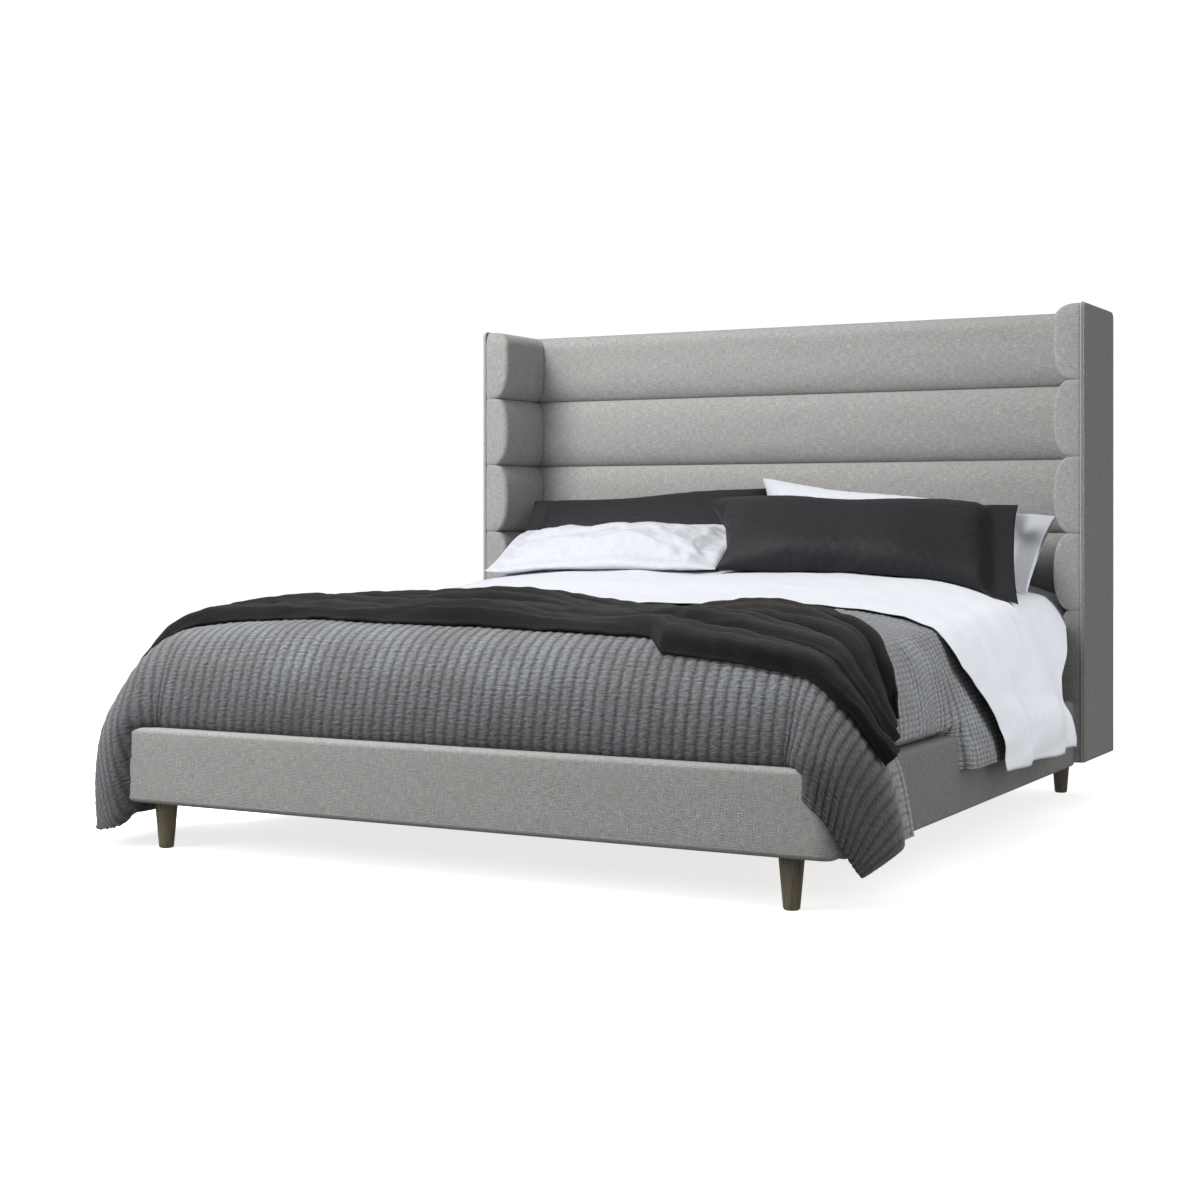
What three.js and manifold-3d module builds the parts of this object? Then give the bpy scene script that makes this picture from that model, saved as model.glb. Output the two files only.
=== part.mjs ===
// Upholstered wing-back bed, king size, dressed with its bedding.
// Millimetres. +X runs across the bed, +Y from the foot to the headboard, +Z up.
// The origin is on the floor, under the middle of the whole bed.
import * as THREE from "three";
import { mergeVertices } from "three/addons/utils/BufferGeometryUtils.js";
import Module from "manifold-3d";

// ---- driving dimensions -------------------------------------------------
const GAP = 0.3; // clearance left between touching pieces
const HALF_LENGTH = 1137; // headboard back, and the coverlet's front, from the middle
const HALF_DRAPE = 1150; // how far the coverlet's corners reach to each side

// headboard and wings
const HEAD_BACK_Y = HALF_LENGTH;
const HEAD_TOP_Z = 1535;
const HEAD_BOTTOM_Z = 134.5;
const WING_OUTER_X = 1077;
const WING_FRONT_Y = 786;
const WING_THICKNESS = 90;
const OUTER_SKIN = 10.7; // padding and cloth on the outside of a wing
const BOARD = 30; // timber panels inside the headboard and wings
const ROLL_PITCH = 234.5; // height of one padded roll
const ROLL_DEPTH = 34; // how deep the sewn valleys are
const ROLL_COUNT = 4;
const BACK_SKIN = 14.7;
const ROLL_CROWN_Y = 1041; // front of the padded rolls
const TOP_EDGE_RADIUS = 48;
const BACK_COVER_DROP = 6; // the back cloth stops this far below the top
const WING_BOARD_INSET = 13; // padding over a wing board's front edge
const HEAD_BOARD_MARGIN = { bottom: 1, top: 15 };

// rails
const RAIL_OUTER_X = 1045;
const RAIL_THICKNESS = 62;
const RAIL_BOTTOM_Z = 123;
const RAIL_TOP_Z = 322;
const RAIL_PAD = 16;
const RAIL_BOARD = 42; // brings its inner face in line with the wings' inner pads
const FOOT_FRONT_Y = -1121;
const FOOT_CORNER_RADIUS = 58;

// support under the mattress
const SLAT_COUNT = 6;
const SLAT_TOP_Z = 222;
const SLAT_THICKNESS = 18;
const SLAT_WIDTH = 90;
const CLEAT_HEIGHT = 40;
const CLEAT_WIDTH = 38;
const BEAM_WIDTH = 45;
const BEAM_HEIGHT = 70;
const CENTRE_LEG_Y = [-330, 450];
const CENTRE_LEG_RADIUS = 24;
const GLIDE_RADIUS = 21;
const GLIDE_HEIGHT = 8;
const GLIDE_STEM_RADIUS = 4;
const GLIDE_STEM_LENGTH = 42;
const CORNER_BLOCK_LENGTH = 62;
const CORNER_BLOCK_RISE = 40; // how far it stands above the rail board's lower edge
const HANGER_DEPTH = 40; // blocks that carry the ends of the centre beam
const HANGER_HALF_WIDTH = 70;
const CLEAT_PAST_WING = 200; // how far the slat cleats run on inside the wings
const PLATE = { thickness: 5, offset: 3, ahead: 80, behind: 90, aboveCleat: 30, belowTop: 20 };

// corner legs: round, tapered
const LEG_TOP_RADIUS = 30.5;
const LEG_FOOT_RADIUS = 19.5;
const FRONT_LEG = { x: 905, y: -1057 };
const REAR_LEG = { x: 921, y: 1080 };

// king mattress on a box foundation
const MATTRESS_HALF_X = 965;
const MATTRESS_Y = [-995, 1035];
const BOX_SPRING_Z = [224, 446];
const MATTRESS_Z = [448, 612];
const MATTRESS_CORNER = 110; // radius of its corners in plan
const MATTRESS_EDGE = 60; // radius of its top and bottom edges
const SHEET = 3; // a cloth layer, drawn thick enough to be solid
const COVERLET = 20; // quilted coverlet
const COVERLET_TOP_Z = 640;
const THROW_THICKNESS = 26;
const FLAT_SHEET_TOP_Z = 700;
const COVERLET_HEAD_Y = 420;
const COVERLET_HANG_Z = 40; // hem of its loose front corners
const FLAT_SHEET_Y = [-110, 700];
const THROW_Y = [-930, -280];
const BOX_SPRING_INSET = { x: 8, y: 6 };
const HEM_HEIGHT = 14; // the fitted sheet ends this far above the mattress's underside

// Pillows stand on a long edge; "lean" is the tilt back from flat, in degrees.
const PILLOWS = {
  back_left_pillow: { x: -472, y: 868, z: 868, halfX: 450, halfY: 215, thick: 110, lean: 52 },
  back_right_pillow: { x: 476, y: 868, z: 872, halfX: 462, halfY: 215, thick: 110, lean: 52 },
  front_left_pillow: { x: -450, y: 555, z: 815, halfX: 430, halfY: 225, thick: 125, lean: 24 },
  front_right_pillow: { x: 474, y: 550, z: 838, halfX: 490, halfY: 225, thick: 125, lean: 29 },
};
const PILLOW_RIM = 5; // half the thickness at the seam

// colours
const CLOTH_GREY = { color: 0xa6a6a2, roughness: 0.9 };
const DUST_CLOTH = { color: 0x3a3a3a, roughness: 0.95 };
const TIMBER = { color: 0xb99a6b, roughness: 0.7 };
const LEG_WOOD = { color: 0x6e6555, roughness: 0.5 };
const STEEL = { color: 0x8c8f92, roughness: 0.4, metalness: 0.9 };
const WHITE_COTTON = { color: 0xf2f3f7, roughness: 0.85 };
const COVERLET_GREY = { color: 0x6e7073, roughness: 0.9 };
const THROW_DARK = { color: 0x35302d, roughness: 0.95 };
const PILLOW_DARK = { color: 0x36363c, roughness: 0.85 };
const TICKING = { color: 0xdedad2, roughness: 0.85 };
const FOUNDATION_CLOTH = { color: 0x4c4a49, roughness: 0.95 };

const wasm = await Module();
wasm.setup();

const bed = new THREE.Group();

function add(name, geometry, look) {
  const mesh = new THREE.Mesh(geometry, new THREE.MeshStandardMaterial(look));
  mesh.name = name;
  bed.add(mesh);
  return mesh;
}

// ---- shape helpers ------------------------------------------------------
function block(x, y, z) {
  const geometry = new THREE.BoxGeometry(x[1] - x[0], y[1] - y[0], z[1] - z[0]);
  geometry.translate((x[0] + x[1]) / 2, (y[0] + y[1]) / 2, (z[0] + z[1]) / 2);
  return geometry;
}

// outlines are lists of [u, v]; each runs either way round
function prism(outline, depth) {
  const shape = new THREE.Shape(outline.map(([u, v]) => new THREE.Vector2(u, v)));
  return new THREE.ExtrudeGeometry(shape, { depth, bevelEnabled: false, steps: 1 });
}

// outline [x, z], drawn out along Y
function prismAlongY(outline, y0, y1) {
  const geometry = prism(outline, y1 - y0);
  const turn = new THREE.Matrix4().makeBasis(
    new THREE.Vector3(1, 0, 0), new THREE.Vector3(0, 0, 1), new THREE.Vector3(0, -1, 0));
  return geometry.applyMatrix4(turn).translate(0, y1, 0);
}

// outline [y, z], drawn out along X
function prismAlongX(outline, x0, x1) {
  const geometry = prism(outline, x1 - x0);
  const turn = new THREE.Matrix4().makeBasis(
    new THREE.Vector3(0, 1, 0), new THREE.Vector3(0, 0, 1), new THREE.Vector3(1, 0, 0));
  return geometry.applyMatrix4(turn).translate(x0, 0, 0);
}

// outline [x, y], drawn out along Z
function prismAlongZ(outline, z0, z1) {
  return prism(outline, z1 - z0).translate(0, 0, z0);
}

// corner points of a rectangle whose corners are rounded; radii start low-left, anticlockwise
function roundedRectangle(u, v, radii, steps = 6) {
  const corners = [
    [u[0], v[0], 1, 1, Math.PI], [u[1], v[0], -1, 1, 1.5 * Math.PI],
    [u[1], v[1], -1, -1, 0], [u[0], v[1], 1, -1, 0.5 * Math.PI]];
  const points = [];
  corners.forEach(([cu, cv, su, sv, start], i) => {
    const r = radii[i];
    const count = r > 0 ? steps : 0;
    for (let k = 0; k <= count; k++) {
      const angle = start + (k / Math.max(count, 1)) * Math.PI / 2;
      points.push([cu + su * r + r * Math.cos(angle), cv + sv * r + r * Math.sin(angle)]);
    }
  });
  return points;
}

// a band of even thickness along a path of [u, v] points
function band(path, thickness) {
  const left = [];
  const right = [];
  path.forEach((point, i) => {
    const before = path[Math.max(i - 1, 0)];
    const after = path[Math.min(i + 1, path.length - 1)];
    const length = Math.hypot(after[0] - before[0], after[1] - before[1]);
    const normal = [-(after[1] - before[1]) / length, (after[0] - before[0]) / length];
    left.push([point[0] + normal[0] * thickness / 2, point[1] + normal[1] * thickness / 2]);
    right.unshift([point[0] - normal[0] * thickness / 2, point[1] - normal[1] * thickness / 2]);
  });
  return left.concat(right);
}

function toSolid(geometry) {
  const plain = new THREE.BufferGeometry();
  plain.setAttribute("position", geometry.attributes.position);
  if (geometry.index) plain.setIndex(geometry.index);
  const merged = mergeVertices(plain, 1e-3);
  return new wasm.Manifold(new wasm.Mesh({
    numProp: 3,
    vertProperties: new Float32Array(merged.attributes.position.array),
    triVerts: new Uint32Array(merged.index.array),
  }));
}

function toGeometry(solid) {
  const mesh = solid.getMesh();
  const geometry = new THREE.BufferGeometry();
  geometry.setAttribute("position", new THREE.BufferAttribute(mesh.vertProperties, 3));
  geometry.setIndex(new THREE.BufferAttribute(mesh.triVerts, 1));
  return geometry;
}

function cut(geometry, ...tools) {
  let solid = toSolid(geometry);
  for (const tool of tools) solid = solid.subtract(toSolid(tool));
  return toGeometry(solid);
}

function join(...pieces) {
  let solid = toSolid(pieces[0]);
  for (const piece of pieces.slice(1)) solid = solid.add(toSolid(piece));
  return toGeometry(solid);
}

function overlapOf(a, b) {
  return toGeometry(toSolid(a).intersect(toSolid(b)));
}

function flipX(outline, side) {
  return outline.map(([u, v]) => [side * u, v]);
}

// a span given for the right-hand side, moved to the side wanted
function sideSpan(side, low, high) {
  return side > 0 ? [low, high] : [-high, -low];
}

// ---- padded rolls -------------------------------------------------------
// Fullness of a roll from 0 in its valleys to 1 at its crown; t runs up the roll.
function fullness(t) {
  return Math.pow(1 - Math.pow(Math.abs(2 * t - 1), 2.6), 0.6);
}

const SEAM_Z = Array.from({ length: ROLL_COUNT }, (_, i) => HEAD_TOP_Z - ROLL_PITCH * (i + 1));

// Outline of a roll as [depth, z]: depth grows from the crown, at 0, to the flat back.
// "top" rounds the upper end over to the back; "bottom" carries the crown down to the end.
function rollOutline(z0, z1, back, ends = {}) {
  const steps = 10;
  const front = [];
  for (let i = 0; i <= steps; i++) {
    const t = i / steps;
    const plain = (ends.top && t > 0.5) || (ends.bottom && t < 0.5);
    if (!plain) front.push([ROLL_DEPTH * (1 - fullness(t)), z0 + t * (z1 - z0)]);
  }
  if (ends.bottom) front.unshift([0, z0]);
  if (ends.top) {
    for (let i = 0; i <= 6; i++) {
      const angle = i / 6 * Math.PI / 2;
      front.push([
        TOP_EDGE_RADIUS * (1 - Math.cos(angle)),
        z1 - TOP_EDGE_RADIUS * (1 - Math.sin(angle))]);
    }
  }
  return [[back, z0], ...front, [back, z1]];
}

const WING_INNER_X = WING_OUTER_X - WING_THICKNESS;
const WING_CORE_X = [WING_OUTER_X - OUTER_SKIN - BOARD - GAP, WING_OUTER_X - OUTER_SKIN - GAP];
const CORE_Y = [HEAD_BACK_Y - BACK_SKIN - GAP - BOARD, HEAD_BACK_Y - BACK_SKIN - GAP];
const WING_CORE_Y = [WING_FRONT_Y + WING_BOARD_INSET, CORE_Y[1]];
const CORE_Z = [HEAD_BOTTOM_Z + HEAD_BOARD_MARGIN.bottom, HEAD_TOP_Z - HEAD_BOARD_MARGIN.top];

// a little larger than the timber it makes room for
function pocket(x, y, z) {
  return block([x[0] - GAP, x[1] + GAP], [y[0] - GAP, y[1] + GAP], [z[0] - GAP, z[1] + GAP]);
}

function headboard() {
  const coreX = WING_CORE_X[0] - GAP;
  add("headboard_core", block([-coreX, coreX], CORE_Y, CORE_Z), TIMBER);
  const backEdge = roundedRectangle(
    [-WING_OUTER_X + OUTER_SKIN, WING_OUTER_X - OUTER_SKIN],
    [HEAD_BOTTOM_Z, HEAD_TOP_Z - BACK_COVER_DROP], [4, 4, 10, 10], 3);
  add("headboard_back_cover",
    prismAlongY(backEdge, HEAD_BACK_Y - BACK_SKIN, HEAD_BACK_Y), DUST_CLOTH);

  const backDepth = CORE_Y[0] - GAP - ROLL_CROWN_Y;
  const toY = ([depth, z]) => [ROLL_CROWN_Y + depth, z];
  SEAM_Z.forEach((seam, i) => {
    const top = i === 0;
    const z1 = top ? HEAD_TOP_Z : SEAM_Z[i - 1] - GAP;
    const depth = top ? CORE_Y[1] - ROLL_CROWN_Y : backDepth;
    const halfWidth = top ? WING_OUTER_X - OUTER_SKIN - GAP : coreX;
    let roll = prismAlongX(rollOutline(seam, z1, depth, { top }).map(toY), -halfWidth, halfWidth);
    if (top) {
      const wingRoom = [-1, 1].map((side) => pocket(sideSpan(side, ...WING_CORE_X), WING_CORE_Y, CORE_Z));
      roll = cut(roll, pocket([-WING_CORE_X[0], WING_CORE_X[0]], CORE_Y, CORE_Z), ...wingRoom);
    }
    add(`headboard_roll_${i + 1}`, roll, CLOTH_GREY);
  });
  const lower = rollOutline(HEAD_BOTTOM_Z, SEAM_Z[ROLL_COUNT - 1] - GAP, backDepth, { bottom: true });
  add("headboard_lower_pad", prismAlongX(lower.map(toY), -coreX, coreX), CLOTH_GREY);
}

function wing(side) {
  const name = side > 0 ? "right" : "left";
  add(`${name}_wing_core`,
    block(sideSpan(side, ...WING_CORE_X), WING_CORE_Y, CORE_Z), TIMBER);
  const skin = roundedRectangle(
    [WING_FRONT_Y, HEAD_BACK_Y], [HEAD_BOTTOM_Z, HEAD_TOP_Z], [6, 6, 22, 22], 4);
  const skinX = sideSpan(side, WING_OUTER_X - OUTER_SKIN, WING_OUTER_X);
  add(`${name}_wing_outer_cover`, prismAlongX(skin, ...skinX), CLOTH_GREY);

  const back = WING_THICKNESS - OUTER_SKIN - GAP;
  const toX = ([depth, z]) => [side * (WING_INNER_X + depth), z];
  const room = pocket(sideSpan(side, ...WING_CORE_X), WING_CORE_Y, CORE_Z);
  const rollEndY = ROLL_CROWN_Y - GAP;
  const beltEnds = SEAM_Z.map((seam, i) => [seam, i === 0 ? HEAD_TOP_Z : SEAM_Z[i - 1] - GAP]);
  beltEnds.forEach(([z0, z1], i) => {
    const outline = rollOutline(z0, z1, back, { top: i === 0 });
    const roll = cut(prismAlongY(outline.map(toX), WING_FRONT_Y, rollEndY), room);
    add(`${name}_wing_roll_${i + 1}`, roll, CLOTH_GREY);
  });
  const lower = rollOutline(HEAD_BOTTOM_Z, SEAM_Z[ROLL_COUNT - 1] - GAP, back, { bottom: true });
  add(`${name}_wing_lower_pad`,
    cut(prismAlongY(lower.map(toX), WING_FRONT_Y, rollEndY), room), CLOTH_GREY);
}

// ---- rails --------------------------------------------------------------
const RAIL_Z = [RAIL_BOTTOM_Z, RAIL_TOP_Z];
const RAIL_INNER_X = RAIL_OUTER_X - RAIL_THICKNESS;
const FOOT_INNER_Y = FOOT_FRONT_Y + RAIL_THICKNESS;
const BOARD_Z = [RAIL_BOTTOM_Z + RAIL_PAD, RAIL_TOP_Z - RAIL_PAD];
const SIDE_BOARD_X = [RAIL_OUTER_X - RAIL_PAD - RAIL_BOARD, RAIL_OUTER_X - RAIL_PAD];
const FOOT_BOARD_Y = [FOOT_FRONT_Y + RAIL_PAD, FOOT_FRONT_Y + RAIL_PAD + RAIL_BOARD];

function sideRail(side) {
  const name = side > 0 ? "right" : "left";
  const y = [FOOT_INNER_Y + GAP, WING_FRONT_Y - GAP];
  const outline = roundedRectangle([RAIL_INNER_X, RAIL_OUTER_X], RAIL_Z, [4, 12, 16, 10], 4);
  const cover = prismAlongY(flipX(outline, side), ...y);
  // the timber sits in a channel that opens to the inside of the bed
  const channel = block(
    sideSpan(side, RAIL_INNER_X - 1, SIDE_BOARD_X[1] + GAP),
    [y[0] - 1, y[1] + 1], [BOARD_Z[0] - GAP, BOARD_Z[1] + GAP]);
  add(`${name}_rail_cover`, cut(cover, channel), CLOTH_GREY);
  add(`${name}_rail_board`, block(sideSpan(side, ...SIDE_BOARD_X), y, BOARD_Z), TIMBER);
}

function footRail() {
  const elevation = roundedRectangle(
    [-RAIL_OUTER_X, RAIL_OUTER_X], RAIL_Z, [34, 34, 46, 46], 6);
  const r = FOOT_CORNER_RADIUS;
  const plan = roundedRectangle(
    [-RAIL_OUTER_X, RAIL_OUTER_X], [FOOT_FRONT_Y, FOOT_INNER_Y], [r, r, 2, 2], 6);
  const body = overlapOf(
    prismAlongY(elevation, FOOT_FRONT_Y - 1, FOOT_INNER_Y + 1),
    prismAlongZ(plan, RAIL_BOTTOM_Z - 1, RAIL_TOP_Z + 1));
  const boardHalfX = RAIL_OUTER_X - FOOT_CORNER_RADIUS;
  const channel = block(
    [-boardHalfX - GAP, boardHalfX + GAP],
    [FOOT_BOARD_Y[0] - GAP, FOOT_INNER_Y + 2], [BOARD_Z[0] - GAP, BOARD_Z[1] + GAP]);
  add("foot_rail_cover", cut(body, channel), CLOTH_GREY);
  add("foot_rail_board", block([-boardHalfX, boardHalfX], FOOT_BOARD_Y, BOARD_Z), TIMBER);
}

// ---- support ------------------------------------------------------------
const CLEAT_TOP_Z = SLAT_TOP_Z - SLAT_THICKNESS - GAP;
const CLEAT_X = [SIDE_BOARD_X[0] - GAP - CLEAT_WIDTH, SIDE_BOARD_X[0] - GAP];
const CLEAT_Z = [CLEAT_TOP_Z - CLEAT_HEIGHT, CLEAT_TOP_Z];
const BEAM_Z = [CLEAT_TOP_Z - BEAM_HEIGHT, CLEAT_TOP_Z];
const BLOCK_END_Y = FOOT_BOARD_Y[1] + CORNER_BLOCK_LENGTH;
const SUPPORT_HEAD_Y = WING_FRONT_Y + CLEAT_PAST_WING;

function supports() {
  const plateX = RAIL_INNER_X - PLATE.offset;
  for (const side of [-1, 1]) {
    const name = side > 0 ? "right" : "left";
    add(`${name}_slat_cleat`,
      block(sideSpan(side, ...CLEAT_X), [BLOCK_END_Y + 4, SUPPORT_HEAD_Y], CLEAT_Z), TIMBER);
    // the plate that ties a side rail to its wing, on their inner faces
    add(`${name}_rail_plate`,
      block(sideSpan(side, plateX - PLATE.thickness, plateX),
        [WING_FRONT_Y - PLATE.ahead, WING_FRONT_Y + PLATE.behind],
        [CLEAT_TOP_Z + PLATE.aboveCleat, RAIL_TOP_Z - PLATE.belowTop]), STEEL);
    // the block in the corner that takes the front leg's bolt
    add(`${name}_corner_block`,
      block(sideSpan(side, FRONT_LEG.x - 40, RAIL_INNER_X - GAP), [FOOT_INNER_Y + GAP, BLOCK_END_Y],
        [RAIL_BOTTOM_Z + GAP, BOARD_Z[0] + CORNER_BLOCK_RISE]), TIMBER);
  }
  const beamY = [FOOT_BOARD_Y[1] + HANGER_DEPTH + 2 * GAP, ROLL_CROWN_Y - HANGER_DEPTH - 2];
  const hangerX = [-HANGER_HALF_WIDTH, HANGER_HALF_WIDTH];
  add("centre_beam", block([-BEAM_WIDTH / 2, BEAM_WIDTH / 2], beamY, BEAM_Z), TIMBER);
  add("foot_beam_hanger",
    block(hangerX, [FOOT_BOARD_Y[1] + GAP, beamY[0] - GAP], [BOARD_Z[0], CLEAT_TOP_Z]), TIMBER);
  add("head_beam_hanger",
    block(hangerX, [beamY[1] + GAP, ROLL_CROWN_Y - GAP], [BOARD_Z[0], CLEAT_TOP_Z]), TIMBER);

  const first = BLOCK_END_Y + 10;
  const last = SUPPORT_HEAD_Y - SLAT_WIDTH;
  const slatHalfX = SIDE_BOARD_X[0] - 3;
  for (let i = 0; i < SLAT_COUNT; i++) {
    const y = first + i * (last - first) / (SLAT_COUNT - 1);
    const slatZ = [SLAT_TOP_Z - SLAT_THICKNESS, SLAT_TOP_Z];
    add(`slat_${i + 1}`, block([-slatHalfX, slatHalfX], [y, y + SLAT_WIDTH], slatZ), TIMBER);
  }
}

// a solid turned about +Z from [radius, z] points that start and end on the axis
function turned(profile, x, y, sides) {
  const points = profile.map(([r, z]) => new THREE.Vector2(r, z));
  return new THREE.LatheGeometry(points, sides).rotateX(Math.PI / 2).translate(x, y, 0);
}

function cornerLeg(name, x, y, top) {
  const waist = 3;
  const profile = [
    [0, 0], [LEG_FOOT_RADIUS - waist, 0], [LEG_FOOT_RADIUS, waist],
    [LEG_TOP_RADIUS, top], [0, top]];
  add(name, turned(profile, x, y, 32), LEG_WOOD);
}

function centreLeg(index, y) {
  const top = BEAM_Z[0] - GAP;
  const bore = GLIDE_STEM_RADIUS + 0.5;
  const foot = GLIDE_HEIGHT + GAP;
  const boreTop = GLIDE_HEIGHT + GLIDE_STEM_LENGTH + 2;
  const leg = [
    [bore, foot], [CENTRE_LEG_RADIUS, foot], [CENTRE_LEG_RADIUS, top], [0, top],
    [0, boreTop], [bore, boreTop], [bore, foot]];
  add(`centre_leg_${index}`, turned(leg, 0, y, 24), TIMBER);
  const glide = [
    [0, 0], [GLIDE_RADIUS - 2, 0], [GLIDE_RADIUS, 2], [GLIDE_RADIUS, GLIDE_HEIGHT - 2],
    [GLIDE_RADIUS - 3, GLIDE_HEIGHT], [GLIDE_STEM_RADIUS, GLIDE_HEIGHT],
    [GLIDE_STEM_RADIUS, GLIDE_HEIGHT + GLIDE_STEM_LENGTH], [0, GLIDE_HEIGHT + GLIDE_STEM_LENGTH]];
  add(`levelling_glide_${index}`, turned(glide, 0, y, 24), STEEL);
}

// ---- bedding ------------------------------------------------------------
function mattressBlock(halfX, y, z, corner, edge) {
  const plan = roundedRectangle(
    [-halfX + edge, halfX - edge], [y[0] + edge, y[1] - edge],
    Array(4).fill(corner - edge), 4);
  const shape = new THREE.Shape(plan.map(([u, v]) => new THREE.Vector2(u, v)));
  const geometry = new THREE.ExtrudeGeometry(shape, {
    depth: z[1] - z[0] - 2 * edge, bevelEnabled: true,
    bevelSize: edge, bevelThickness: edge, bevelSegments: 3, steps: 1,
  });
  return geometry.translate(0, 0, z[0] + edge);
}

const FITTED_HEM_Z = MATTRESS_Z[0] + HEM_HEIGHT;

function mattressSet() {
  const { x, y } = BOX_SPRING_INSET;
  add("box_spring", mattressBlock(MATTRESS_HALF_X - x,
    [MATTRESS_Y[0] + y, MATTRESS_Y[1] - y], BOX_SPRING_Z, 40, 12), FOUNDATION_CLOTH);
  add("mattress",
    mattressBlock(MATTRESS_HALF_X, MATTRESS_Y, MATTRESS_Z, MATTRESS_CORNER, MATTRESS_EDGE), TICKING);
  // a sheet fitted over the mattress: five sides, open below
  const inner = mattressBlock(MATTRESS_HALF_X + GAP, [MATTRESS_Y[0] - GAP, MATTRESS_Y[1] + GAP],
    [MATTRESS_Z[0] - GAP, MATTRESS_Z[1] + GAP], MATTRESS_CORNER + GAP, MATTRESS_EDGE);
  const outer = mattressBlock(MATTRESS_HALF_X + SHEET, [MATTRESS_Y[0] - SHEET, MATTRESS_Y[1] + SHEET],
    [MATTRESS_Z[0] - SHEET, MATTRESS_Z[1] + SHEET], MATTRESS_CORNER + SHEET, MATTRESS_EDGE);
  const wide = [-HALF_DRAPE, HALF_DRAPE];
  const below = block(wide, wide, [MATTRESS_Z[0] - MATTRESS_EDGE, FITTED_HEM_Z]);
  add("fitted_sheet", cut(outer, inner, below), WHITE_COTTON);
}

// one half of a section across the dressed bed, from the middle out to a side
function overTheSide(topZ, outX, hem) {
  return [[0, topZ], [outX - 120, topZ], [outX - 60, topZ - 12], [outX - 18, topZ - 50],
    [outX, topZ - 110], ...hem];
}

function bothSides(right, left = right) {
  return left.slice(1).reverse().map(([x, z]) => [-x, z]).concat(right);
}

function coverlet() {
  const edgeX = MATTRESS_HALF_X + 42;
  const halfSection = overTheSide(COVERLET_TOP_Z - COVERLET / 2, edgeX, [[edgeX, RAIL_TOP_Z + 14]]);
  const over = prismAlongY(band(bothSides(halfSection), COVERLET), MATTRESS_Y[0] - 4,
    COVERLET_HEAD_Y);
  // down over the foot of the mattress to the top of the foot rail
  const footBand = prismAlongX(band([
    [-880, COVERLET_TOP_Z - 8], [-950, COVERLET_TOP_Z - 14], [-1016, COVERLET_TOP_Z - 40],
    [-1040, COVERLET_TOP_Z - 110], [-1052, COVERLET_TOP_Z - 210], [-1053, RAIL_TOP_Z + 14]],
  COVERLET), -edgeX, edgeX);
  // with the same soft shoulders as the rest
  const shoulders = bothSides(halfSection).map(([x, z]) => [x, z + COVERLET / 2]);
  const foot = overlapOf(footBand, prismAlongY(shoulders, -1100, -860));
  const corners = [-1, 1].map((side) => coverletCorner(side, edgeX));
  add("coverlet", join(over, foot, ...corners), COVERLET_GREY);
}

// a loose corner of the coverlet, which hangs outside the rails
function coverletCorner(side, edgeX) {
  const front = -HALF_LENGTH + COVERLET / 2 - 3;
  const out = HALF_DRAPE - COVERLET / 2;
  const path = [[930, front], [1060, front + 1], [out - 42, front + 22], [out - 2, front + 70],
    [out, -1000], [out - 14, -860]];
  const skirt = prismAlongZ(flipX(band(path, COVERLET - 6), side), COVERLET_HANG_Z,
    RAIL_TOP_Z + 30);
  const lidOutline = [[edgeX - 20, -1060], [930, front], [1060, front + 1], [out - 42, front + 22],
    [out - 2, front + 70], [out, -1000], [out - 14, -860], [edgeX - 6, -860]];
  const lid = prismAlongZ(flipX(lidOutline, side), RAIL_TOP_Z + 8, RAIL_TOP_Z + 26);
  return join(skirt, lid);
}

function flatSheet() {
  const out = MATTRESS_HALF_X + 78;
  const right = overTheSide(FLAT_SHEET_TOP_Z, out,
    [[out + 14, 470], [out + 34, RAIL_TOP_Z + 26], [out + 44, 215]]);
  const left = overTheSide(FLAT_SHEET_TOP_Z, out, [[out, 470]]);
  add("flat_sheet", prismAlongY(band(bothSides(right, left), 2 * SHEET), ...FLAT_SHEET_Y), WHITE_COTTON);
}

function throwBlanket() {
  const out = MATTRESS_HALF_X + 80;
  const top = COVERLET_TOP_Z + 6 + THROW_THICKNESS / 2;
  const right = overTheSide(top, out, [[out + 6, 470], [out + 22, RAIL_TOP_Z + 52]]);
  const left = overTheSide(top, out, [[out + 4, 500]]);
  const path = bothSides(right, left);
  add("throw_blanket", prismAlongY(band(path, THROW_THICKNESS), ...THROW_Y), THROW_DARK);
}

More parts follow.
